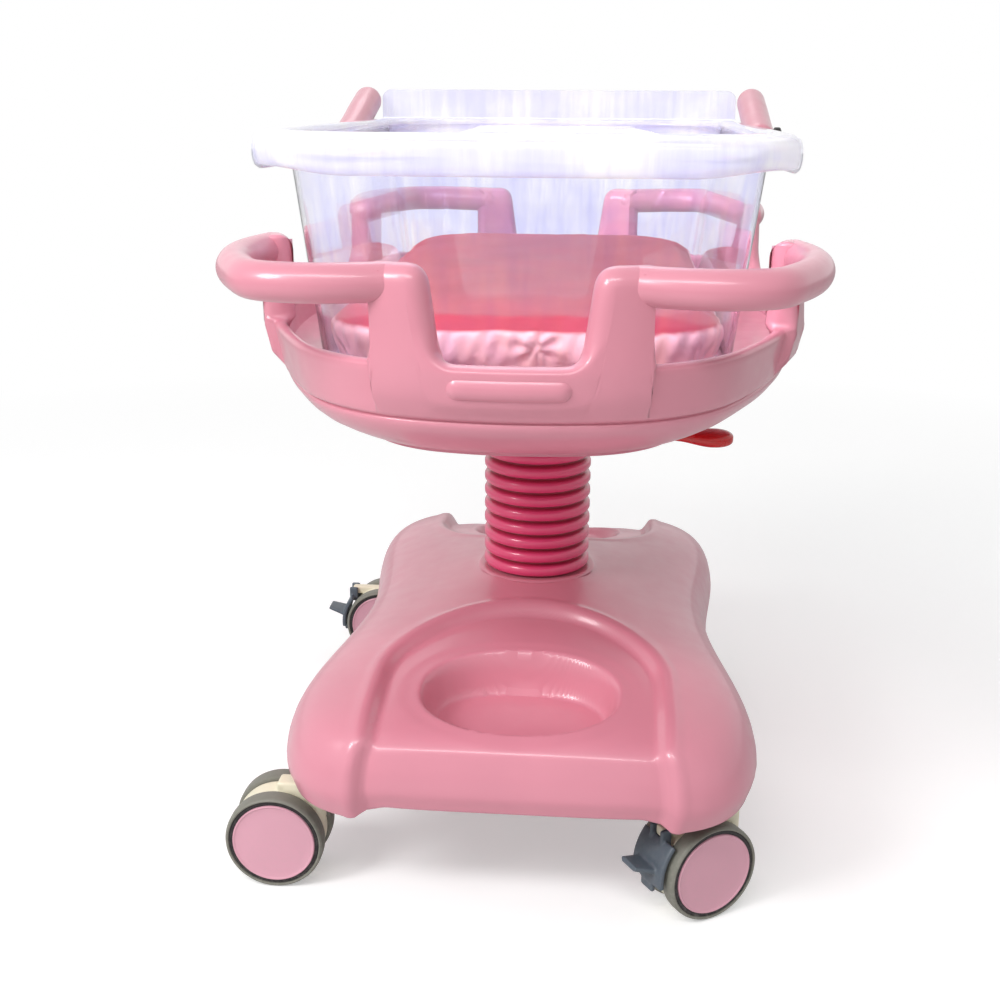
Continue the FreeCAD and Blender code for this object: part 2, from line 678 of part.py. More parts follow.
def lever_bracket():
    """A channel under the pan whose two cheeks carry the lever's pin."""
    pivot_z = lever_pivot_z()
    cheeks = []
    for sign in (1, -1):
        y0, y1 = sorted((sign * 9, sign * 12))
        y0, y1 = y0 - LEVER_Y, y1 - LEVER_Y
        cheek = box(LEVER_PIVOT_X - 9, LEVER_PIVOT_X + 9, y0, y1, pivot_z, PAN_BOTTOM_Z)
        cheek = cheek.fuse(Part.makeCylinder(9, y1 - y0, V(LEVER_PIVOT_X, y0, pivot_z), V(0, 1, 0)))
        cheeks.append(cheek)
    plate = box(LEVER_PIVOT_X - 14, LEVER_PIVOT_X + 14, -LEVER_Y - 12, -LEVER_Y + 12,
                PAN_BOTTOM_Z - 2.5, PAN_BOTTOM_Z)
    bracket = plate.fuse(cheeks).removeSplitter()
    return bracket.cut(along_y(3, -LEVER_Y - 20, -LEVER_Y + 20, LEVER_PIVOT_X, pivot_z))


def lever_pin():
    return along_y(3, -LEVER_Y - 14, -LEVER_Y + 14, LEVER_PIVOT_X, lever_pivot_z())


def lever():
    pivot_z = lever_pivot_z()
    pivot = V(LEVER_PIVOT_X, -LEVER_Y, pivot_z)
    hub = along_y(7, -LEVER_Y - 8, -LEVER_Y + 8, LEVER_PIVOT_X, pivot_z)
    paddle_x0 = LEVER_X - LEVER_PADDLE_LENGTH * 0.45
    reach = V(paddle_x0 + 12, -LEVER_Y, LEVER_Z).sub(pivot)
    rod = Part.makeCylinder(LEVER_ROD_DIAMETER / 2, reach.Length, pivot, reach)
    half = LEVER_PADDLE_WIDTH / 2
    paddle_x1 = paddle_x0 + LEVER_PADDLE_LENGTH
    low, high = LEVER_Z - LEVER_THICKNESS / 2, LEVER_Z + LEVER_THICKNESS / 2
    flat = box(paddle_x0, paddle_x1 - half, -LEVER_Y - half, -LEVER_Y + half, low, high)
    tip = cylinder(half, low, high, paddle_x1 - half, -LEVER_Y)
    body = hub.fuse([rod, flat, tip]).removeSplitter()
    return body.cut(along_y(3 + RUNNING_FIT, -LEVER_Y - 20, -LEVER_Y + 20, LEVER_PIVOT_X, pivot_z))


# ---------------------------------------------------------------- tray
TRAY_PROFILE = [
    (TRAY_BOTTOM_Z, -62.0),
    (TRAY_BOTTOM_Z + 6, -44.0),
    (TRAY_BOTTOM_Z + 18, -20.0),
    (SEAM_Z - 6, -3.0),
    (SEAM_Z - 2, -2.0),
    (SEAM_Z, -4.0),
    (SEAM_Z + 2, 0.0),
    (SILL_Z - 8, SILL_OFFSET - 1),
    (SILL_Z, SILL_OFFSET - 2),
]


def post(x0, x1, y0, y1):
    """An upright pilaster that follows the tray's plan between two limits."""
    grow = 17.0
    outer = TRAY_PLAN.solid([(SEAM_Z + 2, 4.0), (SILL_Z, grow), (GRIP_Z + 8, grow)])
    inner = TRAY_PLAN.solid([(SEAM_Z - 5, -10.0), (GRIP_Z + 20, -10.0)])
    return outer.cut(inner).common(box(x0, x1, y0, y1, SEAM_Z, GRIP_Z + 10))


def grip_line():
    """Points of one grip's centre line, from the end post round the corner to the side post."""
    end_x, side_y = FRONT_POST_X + 10, SIDE_POST_Y
    side_x, end_y = TRAY_PLAN.x_at(side_y, 7.0), TRAY_PLAN.y_at(end_x, 3.0)
    places = [(end_x, end_y), (end_x + 36, end_y + 13), (end_x + 71, end_y + 16),
              (end_x + 106, end_y + 3), (side_x - 21, side_y + 182), (side_x - 3, side_y + 138),
              (side_x + 7, side_y + 89), (side_x + 7, side_y + 42), (side_x, side_y)]
    return [V(x, -y, GRIP_Z) for x, y in places]


def grip():
    points = grip_line()
    curve = Part.BSplineCurve()
    curve.interpolate(points)
    path = Part.Wire([curve.toShape()])
    tangent = curve.tangent(curve.FirstParameter)[0]
    circle = Part.Circle(points[0], tangent, GRIP_DIAMETER / 2)
    return path.makePipe(Part.Face(Part.Wire([circle.toShape()])))


def tray_shell():
    outer = TRAY_PLAN.solid(TRAY_PROFILE)
    wall = TRAY_WALL
    upper = TRAY_PLAN.solid([(TRAY_FLOOR_Z, -wall - 2), (SILL_Z + 60, SILL_OFFSET - wall)])
    lower_profile = [(TRAY_BOTTOM_Z - 1, -66.0 - wall), (TRAY_BOTTOM_Z + 6, -46.0 - wall),
                     (TRAY_BOTTOM_Z + 18, -22.0 - wall), (SEAM_Z - 6, -6.0 - wall),
                     (FLOOR_UNDERSIDE_Z, -6.0 - wall)]
    lower = TRAY_PLAN.solid(lower_profile)
    lips = []
    lip_y = TRAY_PLAN.half_l + SILL_OFFSET - LIP_RADIUS * 0.35
    bar = capsule(V(-LIP_HALF_WIDTH + LIP_RADIUS, -lip_y, LIP_Z),
                  V(LIP_HALF_WIDTH - LIP_RADIUS, -lip_y, LIP_Z), LIP_RADIUS)
    lips = [bar, mirrored_y(bar)]
    shell = outer.fuse(lips).cut(upper).cut(lower)
    end_post = post(FRONT_POST_X - POST_WIDTH / 2, FRONT_POST_X + POST_WIDTH / 2, -600, 0)
    side_post = post(0, 600, -SIDE_POST_Y - POST_WIDTH / 2, -SIDE_POST_Y + POST_WIDTH / 2)
    corner = end_post.fuse([side_post, grip()])
    return shell.fuse(four_corners(corner)).removeSplitter()


def tray_pan():
    plate = TRAY_PLAN.solid([(PAN_BOTTOM_Z, -64.0), (TRAY_BOTTOM_Z, -64.0)])
    plate = plate.cut(cylinder(PAN_OPENING_DIAMETER / 2, PAN_BOTTOM_Z - 1, TRAY_BOTTOM_Z + 1))
    for x, y in pan_screw_places():
        plate = plate.cut(cylinder(SCREW_DIAMETER / 2, PAN_BOTTOM_Z - 1, TRAY_BOTTOM_Z + 1, x, y))
    return plate


def pan_screw_places():
    places = []
    for sx in (1, -1):
        for sy in (1, -1):
            places.append((sx * PAN_SCREW_X, sy * PAN_SCREW_Y))
    return places


def tray_posts_for_screws():
    """Moulded pillars that carry the pan's screws up to the tray's floor."""
    pillars = []
    for x, y in pan_screw_places():
        pillar = tube(SCREW_DIAMETER, SCREW_DIAMETER / 2, TRAY_BOTTOM_Z, FLOOR_UNDERSIDE_Z, x, y)
        pillars.append(pillar)
    return pillars


def tray_screws():
    return group([screw(x, y, PAN_BOTTOM_Z, 30.0) for x, y in pan_screw_places()])


# ---------------------------------------------------------------- tub, mattress, grips
def tub_form(inset, z_floor, z_top):
    """The tub's body, drawn in towards its floor and rounded round the floor's edge."""
    w, l, r = TUB_HALF_WIDTH - inset, TUB_HALF_LENGTH - inset, TUB_CORNER_RADIUS - inset
    wires = []
    for rise, shrink in ((0.0, 10.0), (4.0, 3.5), (12.0, 0.0)):
        s = TUB_DRAFT + shrink
        wires.append(rounded_rectangle(w - s, l - s, r - s / 2, z_floor + rise))
    wires.append(rounded_rectangle(w, l, r, z_top))
    return Part.makeLoft(wires, True, True)


def rim_plate(half_w, half_l, radius, z0, z1):
    low = rounded_rectangle(half_w, half_l, radius, z0)
    high = rounded_rectangle(half_w, half_l, radius, z1)
    return Part.makeLoft([low, high], True, True)


def tub():
    body = tub_form(0.0, TUB_BOTTOM_Z, FLANGE_Z - 2)
    top = FLANGE_Z
    skirt_wall = TUB_WALL
    flange = rim_plate(FLANGE_HALF_WIDTH, FLANGE_HALF_LENGTH, FLANGE_CORNER_RADIUS,
                       top - SKIRT_HEIGHT, top)
    hollow = rim_plate(FLANGE_HALF_WIDTH - skirt_wall, FLANGE_HALF_LENGTH - skirt_wall,
                       FLANGE_CORNER_RADIUS - skirt_wall, top - SKIRT_HEIGHT - 1, top - TUB_WALL)
    cavity = tub_form(TUB_WALL, TUB_FLOOR_Z, FLANGE_Z + 3)
    shell = flange.cut(hollow).fuse(body).cut(cavity)
    return shell.fuse(head_panel()).removeSplitter()


def head_panel():
    """The upright clear panel on the rim's head end, between the two grips."""
    y1 = TUB_HALF_LENGTH
    panel = box(-HEAD_PANEL_HALF_WIDTH, HEAD_PANEL_HALF_WIDTH, y1 - TUB_WALL, y1,
                FLANGE_Z - TUB_WALL, HEAD_PANEL_Z)
    corners = [e for e in panel.Edges
               if e.BoundBox.ZMin > HEAD_PANEL_Z - 1 and e.BoundBox.XLength < 1]
    return panel.makeFillet(HEAD_PANEL_ROUND, corners)


def mattress():
    inset = TUB_WALL + MATTRESS_CLEARANCE
    w, l = TUB_HALF_WIDTH - inset - TUB_DRAFT, TUB_HALF_LENGTH - inset - TUB_DRAFT
    r = TUB_CORNER_RADIUS - inset - TUB_DRAFT / 2
    z0, z1 = TUB_FLOOR_Z + SOFT_GAP, MATTRESS_TOP_Z
    wires = []
    for z, shrink in ((z0, 10.0), (z0 + 10, 2.0), (z1 - 12, 0.0), (z1 - 3, 3.0), (z1, 10.0)):
        wires.append(rounded_rectangle(w - shrink, l - shrink, r - shrink / 2, z))
    return Part.makeLoft(wires, True, True)


def arm_ends():
    """The low and high ends of the right head-end grip's centre line."""
    x = FLANGE_HALF_WIDTH + ARM_DIAMETER / 2
    low = V(x, ARM_LOW_Y, FLANGE_Z - ARM_DIAMETER / 2 - 1)
    high = V(x, ARM_HIGH_Y, low.z + ARM_RISE)
    return low, high


def head_grip():
    low, high = arm_ends()
    return capsule(low, high, ARM_DIAMETER / 2).cut(grip_knob())


def grip_knob():
    low, _ = arm_ends()
    x0 = low.x + ARM_DIAMETER / 2 - 2
    knob = along_x(KNOB_DIAMETER / 2, x0, x0 + 9, low.y, low.z)
    return knob


# ---------------------------------------------------------------- build
def main():
    yaw = {"front_right": FRONT_RIGHT_YAW}
    places = {"front_left": (-FRONT_STEM_X, -STEM_Y), "front_right": (FRONT_STEM_X, -STEM_Y),
              "rear_left": (-REAR_STEM_X, STEM_Y), "rear_right": (REAR_STEM_X, STEM_Y)}
    for name, (x, y) in places.items():
        angle = yaw.get(name, 0.0)
        braked = name in BRAKED
        for piece, shape in caster_parts(braked).items():
            save(name + "_caster_" + piece, moved(turned(shape, angle), x, y))
        if braked:
            save(name + "_brake_pedal", moved(turned(brake_pedal(), angle), x, y))

    save("base_cover", base_cover())
    save("base_frame", base_frame())
    save("base_screws", base_screws())
    for name, shape in column().items():
        save(name, shape)
    save("tilt_pin", tilt_pin())
    save("tilt_bracket", tilt_bracket())
    shell = tray_shell().fuse(tray_posts_for_screws()).removeSplitter()
    save("tray_shell", shell)
    save("tray_pan", tray_pan())
    save("tray_screws", tray_screws())
    save("release_lever", lever())
    save("lever_bracket", lever_bracket())
    save("lever_pin", lever_pin())
    save("tub", tub())
    save("mattress", mattress())
    right = head_grip()
    save("right_head_grip", right)
    save("left_head_grip", mirrored_x(right))
    knob = grip_knob()
    save("grip_knobs", group([knob, mirrored_x(knob)]))


main()
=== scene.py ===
import json
import math

import bpy
import numpy as np
from mathutils import Matrix, Vector


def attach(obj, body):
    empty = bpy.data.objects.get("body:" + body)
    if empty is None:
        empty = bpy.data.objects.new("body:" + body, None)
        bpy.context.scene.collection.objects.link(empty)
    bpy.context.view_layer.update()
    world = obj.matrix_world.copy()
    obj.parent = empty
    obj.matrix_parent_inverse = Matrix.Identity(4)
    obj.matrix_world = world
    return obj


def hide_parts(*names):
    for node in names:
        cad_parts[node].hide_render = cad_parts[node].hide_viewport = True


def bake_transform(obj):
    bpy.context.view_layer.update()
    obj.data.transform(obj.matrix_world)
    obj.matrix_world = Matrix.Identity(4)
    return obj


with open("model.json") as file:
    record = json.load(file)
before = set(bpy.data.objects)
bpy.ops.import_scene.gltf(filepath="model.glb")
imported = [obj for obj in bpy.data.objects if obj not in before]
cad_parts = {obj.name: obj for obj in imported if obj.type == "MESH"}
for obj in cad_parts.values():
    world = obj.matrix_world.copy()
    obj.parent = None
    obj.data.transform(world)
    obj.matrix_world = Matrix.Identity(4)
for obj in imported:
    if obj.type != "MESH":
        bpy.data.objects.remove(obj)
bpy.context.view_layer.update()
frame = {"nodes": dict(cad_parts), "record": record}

bl_info = {
    "name": "Hospital Bassinet",
    "version": (1, 0, 0),
    "blender": (4, 5, 0),
    "location": "3D View > Sidebar > Bassinet",
    "description": "Dresses a height-adjustable hospital bassinet over its packed frame",
    "category": "Object",
}

# Lengths in these tables are in millimetres, with x and y measured from the column.
# height over the edge, shares of half width, front half length and rear half length, squareness
BASE_SECTIONS = ((0, .985, .985, .985, 5.2), (26, 1, 1, .998, 5.4), (58, .968, .985, .968, 5.2),
                 (80, .90, .955, .875, 4.7), (95, .775, .865, .735, 3.7),
                 (107, .60, .655, .535, 2.9), (116, .445, .44, .385, 2.5),
                 (122, .345, .275, .275, 2.1))
BASE_WALL = 4.0
TRAY_UNDER = 522.0
# where an end post begins, reaches its top and ends along x, and a side post along y
END_POST = (55, 66, 110)
SIDE_POST = (188, 198, 236)
FLANGE_HALF_W, FLANGE_HALF_L = 234.0, 385.0
WALL_CORNER = 106
TUB_DRAFT = 22
GRIP_LINE = ((98, -425), (134, -438), (169, -440.5), (204, -428), (223.5, -396), (241.5, -352),
             (251.5, -303), (251.5, -256), (244.5, -214))
CASTER_PLACES = {"front_left": (-208, -285, 0), "front_right": (208, -285, 32),
                 "rear_left": (-196, 285, 0), "rear_right": (196, 285, 0)}
BRAKED = ("front_right", "rear_left")


def srgb(red, green, blue):
    """A colour of 0 to 255 levels as linear light."""
    levels = [c / 255 for c in (red, green, blue)]
    return tuple(c / 12.92 if c <= 0.04045 else ((c + 0.055) / 1.055) ** 2.4 for c in levels)


# ------------------------------------------------------------------ sizes and colours
def length(label, note, value):
    return bpy.props.FloatProperty(name=label, description=note, default=value, unit="LENGTH",
                                   precision=4)


def colour(label, note, *levels):
    return bpy.props.FloatVectorProperty(name=label, description=note, default=srgb(*levels),
                                         subtype="COLOR", min=0, max=1)


class BassinetSizes(bpy.types.PropertyGroup):
    base_bottom: length("Base bottom", "Height of the cover's bottom edge", 0.118)
    base_half_width: length("Base half width", "Half of the cover's width", 0.236)
    base_half_length: length("Base half length", "Half of the cover's length", 0.386)
    base_waist: bpy.props.FloatProperty(name="Base waist", default=0.13, subtype="FACTOR",
                                        description="Share by which the sides pull in")
    base_taper: bpy.props.FloatProperty(name="Base taper", default=0.04, subtype="FACTOR",
                                        description="Share by which it narrows to the rear")
    collar_radius: length("Collar radius", "Radius of the raised collar round the column", 0.068)
    collar_top: length("Collar top", "Height of the collar", 0.246)
    panel_depth: length("Panel depth", "How far the arched end panels are sunk", 0.012)
    panel_half_width: length("Panel half width", "Half of an arched panel's width", 0.144)
    bowl_half_width: length("Bowl half width", "Half of a storage bowl's width", 0.100)
    bowl_half_length: length("Bowl half length", "Half of a storage bowl's length", 0.074)
    bowl_centre: length("Bowl centre", "Distance of a bowl from the column", 0.271)
    bowl_floor: length("Bowl floor", "Height of a bowl's floor", 0.172)
    bellows_radius: length("Bellows radius", "Radius of the folds' crests", 0.061)
    bellows_root: length("Bellows root", "Radius between the folds", 0.053)
    bellows_top: length("Bellows top", "Height of the plate over the folds", 0.460)
    bellows_folds: bpy.props.IntProperty(name="Folds", default=13, description="Number of folds")
    tray_floor: length("Tray floor", "Height of the tray's floor", 0.528)
    tray_sill: length("Tray sill", "Height of the low parts of the tray's rim", 0.566)
    grip_height: length("Grip height", "Height of the grips' centre line", 0.629)
    grip_diameter: length("Grip diameter", "Thickness of the corner grips", 0.032)
    tub_half_width: length("Tub half width", "Half of the tub's width at its top", 0.212)
    tub_half_length: length("Tub half length", "Half of the tub's length at its top", 0.361)
    tub_wall: length("Tub wall", "Thickness of the clear wall", 0.004)
    flange_height: length("Flange height", "Height of the tub's rim", 0.741)
    skirt_height: length("Skirt height", "Depth of the rim's turned-down edge", 0.034)
    head_panel: length("Head panel", "Height of the clear panel at the head end", 0.777)
    mattress_top: length("Mattress top", "Height of the mattress at its foot end", 0.580)
    mattress_rise: length("Mattress rise", "How much higher its head end is", 0.010)
    wheel_diameter: length("Wheel diameter", "Diameter of each caster wheel", 0.100)
    caster_trail: length("Caster trail", "Distance of the axle behind the stem", 0.036)
    column_x: length("Column place", "Where the column stands across the plan", 0.0185)


class BassinetColours(bpy.types.PropertyGroup):
    moulding: colour("Moulding", "Pink moulded plastic", 214, 137, 154)
    clear: colour("Clear tub", "Tint of the clear plastic", 232, 232, 254)
    # The mattress's two colours paint shade on its top and light on its sides.
    mattress_top_shaded: colour("Mattress face", "Woven face of the mattress", 186, 52, 76)
    mattress_side_lit: colour("Mattress side", "Satin side of the mattress", 250, 190, 194)
    fold: colour("Bellows crest", "Rubber of the folds", 226, 66, 118)
    # The groove colour is painted shade, darkening the rubber between the folds.
    groove_shade: colour("Bellows groove", "Rubber between the folds", 150, 8, 42)
    lever: colour("Lever", "Red release lever", 196, 12, 12)
    hood: colour("Caster hood", "Cream plastic over the wheels", 238, 232, 205)
    tyre: colour("Tyre", "Grey running rubber", 122, 122, 112)
    disc: colour("Wheel disc", "Pink discs of the wheels", 216, 160, 176)
    # a near-black ring sunk between tyre and disc, which the frame has no part for; also the colour
    # of the head-grip knobs
    rim: colour("Wheel dark ring", "Black ring between tyre and disc", 22, 18, 20)
    pedal: colour("Brake pedal", "Grey brake pedals", 84, 94, 104)


def sizes():
    return bpy.context.scene.bassinet_sizes


def colours():
    return bpy.context.scene.bassinet_colours


# ------------------------------------------------------------------ modelling helpers
def clear_selection():
    if bpy.context.mode != "OBJECT":
        bpy.ops.object.mode_set(mode="OBJECT")
    bpy.ops.object.select_all(action="DESELECT")


def only(piece):
    clear_selection()
    piece.select_set(True)
    bpy.context.view_layer.objects.active = piece


def named(name):
    piece = bpy.context.active_object
    piece.name = name
    piece.data.name = name
    return piece


def settle(piece):
    """Put the piece's place, turn and scale into its mesh."""
    only(piece)
    bpy.ops.object.transform_apply(location=True, rotation=True, scale=True)
    return piece


def edit(piece, action="SELECT"):
    only(piece)
    bpy.ops.object.mode_set(mode="EDIT")
    bpy.ops.mesh.select_mode(type="VERT")
    bpy.ops.mesh.select_all(action=action)


def close_up(piece, gap=1e-6):
    """Merge the seam's doubled points and point the faces outwards."""
    edit(piece)
    bpy.ops.mesh.remove_doubles(threshold=gap)
    bpy.ops.mesh.normals_make_consistent(inside=False)
    bpy.ops.object.mode_set(mode="OBJECT")
    return piece


def smoothed(piece, degrees=40):
    only(piece)
    bpy.ops.object.shade_smooth_by_angle(angle=math.radians(degrees))
    return piece


def applied(piece, kind, **values):
    """Add a modifier to the piece with these values and apply it."""
    only(piece)
    bpy.ops.object.modifier_add(type=kind)
    modifier = piece.modifiers[-1]
    for key, value in values.items():
        setattr(modifier, key, value)
    bpy.ops.object.modifier_apply(modifier=modifier.name)
    return piece


def turned(name, profile, sides=96, closed=False):
    """Extrude a circle ring by ring along (radius, height) pairs in millimetres."""
    clear_selection()
    radius, height = profile[0]
    radius = max(radius, 0.01)
    bpy.ops.mesh.primitive_circle_add(vertices=sides, radius=radius * 0.001,
                                      location=(0, 0, height * 0.001))
    piece = settle(named(name))
    edit(piece)
    for next_radius, next_height in profile[1:]:
        next_radius = max(next_radius, 0.01)
        bpy.ops.mesh.extrude_region_move(
            TRANSFORM_OT_translate={"value": (0, 0, (next_height - height) * 0.001)})
        share = next_radius / radius
        bpy.ops.transform.resize(value=(share, share, 1), center_override=(0, 0, 0))
        radius, height = next_radius, next_height
    bpy.ops.object.mode_set(mode="OBJECT")
    return close_up(piece, 3e-5)


def wrapped(name, points):
    """A grid whose points are set from an array of rows x columns x 3, in millimetres."""
    rows, columns = points.shape[:2]
    clear_selection()
    bpy.ops.mesh.primitive_grid_add(x_subdivisions=columns - 1, y_subdivisions=rows - 1, size=1)
    piece = named(name)
    flat = mesh_values(piece)
    u = np.rint((flat[:, 0] + 0.5) * (columns - 1)).astype(int)
    v = np.rint((flat[:, 1] + 0.5) * (rows - 1)).astype(int)
    set_vertices(piece, points[v, u] * 0.001)
    return close_up(piece, 2e-5)


def spline(points, count):
    """A smooth line through the points, as count points."""
    points = np.array(points, float)
    ends = np.vstack([2 * points[0] - points[1], points, 2 * points[-1] - points[-2]])
    result = []
    for t in np.linspace(0, len(points) - 1, count):
        i = min(int(t), len(points) - 2)
        f = t - i
        a, b, c, d = ends[i:i + 4]
        result.append(0.5 * (2 * b + (c - a) * f + (2 * a - 5 * b + 4 * c - d) * f * f
                             + (3 * b - a - 3 * c + d) * f ** 3))
    return np.array(result)


def swept(name, line, radii, sides=32, flat=None, square=2.0, side_way=None):
    """A bar of changing radius, flatness and squareness along a line, closed at its ends."""
    line = np.array(line, float)
    flat = np.ones(len(line)) if flat is None else flat
    turn = np.linspace(0, 2 * math.pi, sides + 1)
    wide = np.sign(np.cos(turn)) * np.abs(np.cos(turn)) ** (2 / square)
    high = np.sign(np.sin(turn)) * np.abs(np.sin(turn)) ** (2 / square)
    rows = []
    tangents = np.gradient(line, axis=0)
    tangents /= np.linalg.norm(tangents, axis=1)[:, None]
    for at, ahead, radius, share in zip(line, tangents, radii, flat):
        side = np.cross(ahead, (0, 0, 1.0)) if side_way is None else np.array(side_way, float)
        side /= max(np.linalg.norm(side), 1e-9)
        up = np.cross(side, ahead)
        rows.append(at + radius * (wide[:, None] * side + high[:, None] * up * share))
    first, last = np.repeat(line[:1], sides + 1, 0), np.repeat(line[-1:], sides + 1, 0)
    return wrapped(name, np.array([first] + rows + [last]))


def round_ended(line, radius, steps=7):
    """The line and its radii with a half ball added at each end."""
    line = np.array(line, float)
    first = line[0] - line[1]
    first /= np.linalg.norm(first)
    last = line[-1] - line[-2]
    last /= np.linalg.norm(last)
    angles = np.linspace(0, math.pi / 2, steps)[1:]
    head = [line[0] + first * radius * math.sin(a) for a in angles[::-1]]
    tail = [line[-1] + last * radius * math.sin(a) for a in angles]
    shrink = [max(radius * math.cos(a), 0.01) for a in angles]
    return np.vstack([head, line, tail]), shrink[::-1] + [radius] * len(line) + shrink


def eased(t):
    t = np.clip(t, 0, 1)
    return t * t * (3 - 2 * t)


def steady_eased(t):
    t = np.clip(t, 0, 1)
    return t ** 3 * (t * (6 * t - 15) + 10)


def moved_over(piece):
    """Shift a piece from the column's own frame to the column's place in the plan."""
    piece.location.x += sizes().column_x
    return settle(piece)


def give(piece, body, slot, *nodes):
    """Let the piece ride on a body and stand for CAD nodes; the slot argument is not used."""
    moved_over(piece)
    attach(piece, body)
    if nodes:
        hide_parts(*nodes)
    return piece


def painted(piece, material):
    piece.data.materials.clear()
    piece.data.materials.append(material)
    return piece


def finished(piece, degrees, material):
    """Smooth the piece below an angle and give it its material."""
    return painted(smoothed(piece, degrees), material)


def soft_finished(piece, material):
    """Smooth the whole piece and give it its material."""
    only(piece)
    bpy.ops.object.shade_smooth()
    return painted(piece, material)


def mesh_values(piece, key="co"):
    """The places or normals of a piece's points, as rows of three."""
    flat = np.zeros(len(piece.data.vertices) * 3)
    piece.data.vertices.foreach_get(key, flat)
    return flat.reshape(-1, 3)


def set_vertices(piece, places):
    piece.data.vertices.foreach_set("co", places.ravel())
    piece.data.update()


def point_mask(piece, name, values):
    """Store one number a point for the piece's material to read."""
    piece.data.attributes.new(name, "FLOAT", "POINT").data.foreach_set("value", values)


# ------------------------------------------------------------------ materials
def new_group(name, inputs, outputs):
    """A shader node group with float or colour sockets, its input node and its output node."""
    group = bpy.data.node_groups.new(name, "ShaderNodeTree")
    for label, kind, value in inputs:
        socket = group.interface.new_socket(label, in_out="INPUT", socket_type="NodeSocket" + kind)
        socket.default_value = value
    for label, kind in outputs:
        group.interface.new_socket(label, in_out="OUTPUT", socket_type="NodeSocket" + kind)
    return group, group.nodes.new("NodeGroupInput"), group.nodes.new("NodeGroupOutput")


def add(tree, kind, **values):
    node = tree.nodes.new("ShaderNode" + kind)
    for key, value in values.items():
        if hasattr(node, key):
            setattr(node, key, value)
        else:
            node.inputs[key.replace("_", " ")].default_value = value
    return node


def feed(tree, target, value):
    """Join an output to a socket, or write a plain value into it."""
    if isinstance(value, bpy.types.NodeSocket):
        tree.links.new(value, target)
    else:
        target.default_value = value


def fed(tree, node, values):
    """The node, each socket named or numbered in values joined or written."""
    for key, value in values.items():
        feed(tree, node.inputs[key], value)
    return node


def reckon(tree, operation, *values, clamp=False):
    """The output of a Math node on outputs or plain numbers."""
    node = add(tree, "Math", operation=operation, use_clamp=clamp)
    return fed(tree, node, dict(enumerate(values))).outputs[0]


def noise(tree, where, scale, detail=3.0, rough=0.5):
    node = add(tree, "TexNoise", Scale=scale, Detail=detail, Roughness=rough)
    return fed(tree, node, {"Vector": where}).outputs["Fac"]


def spread(tree, value, low, high, to_low, to_high):
    return fed(tree, add(tree, "MapRange"), {
        "Value": value, "From Min": low, "From Max": high, "To Min": to_low,
        "To Max": to_high}).outputs["Result"]


def mixed(tree, share, first, second):
    """Two colours mixed by a mask."""
    node = add(tree, "Mix", data_type="RGBA")
    return fed(tree, node, {"Factor": share, 6: first, 7: second}).outputs[2]


def toned(tree, tone, level):
    """A colour made lighter or darker by a level."""
    return fed(tree, add(tree, "HueSaturation"), {"Color": tone, "Value": level}).outputs["Color"]


def bumped(tree, height, distance, strength):
    node = add(tree, "Bump", Distance=distance)
    return fed(tree, node, {"Height": height, "Strength": strength}).outputs["Normal"]


def object_place(tree):
    return add(tree, "TexCoord").outputs["Object"]


def stretched(tree, where, scale):
    """The place, scaled along each axis."""
    return fed(tree, add(tree, "Mapping"), {"Vector": where, "Scale": scale}).outputs["Vector"]


def moulded_skin():
    """Fine grain, slow colour drift and rubbed patches of moulded plastic."""
    if "Moulded Skin" in bpy.data.node_groups:
        return bpy.data.node_groups["Moulded Skin"]
    tree, given, out = new_group(
        "Moulded Skin",
        [("Colour", "Color", (0.8, 0.4, 0.5, 1)), ("Gloss", "Float", 0.35),
         ("Grain", "Float", 0.15), ("Drift", "Float", 0.06)],
        [("Colour", "Color"), ("Roughness", "Float"), ("Normal", "Vector")])
    where = object_place(tree)
    slow = noise(tree, where, 9.0, 2.0)
    cloud = noise(tree, where, 46.0, 4.0, 0.6)
    fine = noise(tree, where, 900.0, 2.0)
    peel = noise(tree, where, 150.0, 1.0)
    drift = reckon(tree, "MULTIPLY", spread(tree, slow, 0.3, 0.7, -1.0, 1.0),
                   given.outputs["Drift"])
    height = reckon(tree, "MULTIPLY_ADD", fine, 0.35, peel)
    fed(tree, out, {
        "Colour": toned(tree, given.outputs["Colour"], reckon(tree, "ADD", drift, 1.0)),
        "Roughness": reckon(tree, "ADD", given.outputs["Gloss"],
                            spread(tree, cloud, 0.3, 0.7, -0.04, 0.07)),
        "Normal": bumped(tree, height, 0.0004, given.outputs["Grain"])})
    return tree


def settled_dust():
    """A mask of faint dust and scuffs that gathers towards the floor."""
    if "Settled Dust" in bpy.data.node_groups:
        return bpy.data.node_groups["Settled Dust"]
    tree, given, out = new_group(
        "Settled Dust", [("Amount", "Float", 0.3), ("Reach", "Float", 0.12)], [("Mask", "Float")])
    where = object_place(tree)
    parts = fed(tree, add(tree, "SeparateXYZ"), {0: where})
    low = spread(tree, parts.outputs["Z"], 0.0, given.outputs["Reach"], 1.0, 0.0)
    speck = spread(tree, noise(tree, where, 180.0, 5.0, 0.7), 0.45, 0.75, 0.0, 1.0)
    both = reckon(tree, "MULTIPLY", low, speck)
    fed(tree, out, {"Mask": reckon(tree, "MULTIPLY", both, given.outputs["Amount"], clamp=True)})
    return tree


def place_group(tree, group, **values):
    node = tree.nodes.new("ShaderNodeGroup")
    node.node_tree = group
    for key, value in values.items():
        node.inputs[key].default_value = value
    return node


def blank(name):
    material = bpy.data.materials.new(name)
    material.use_nodes = True
    return material, material.node_tree, material.node_tree.nodes["Principled BSDF"]


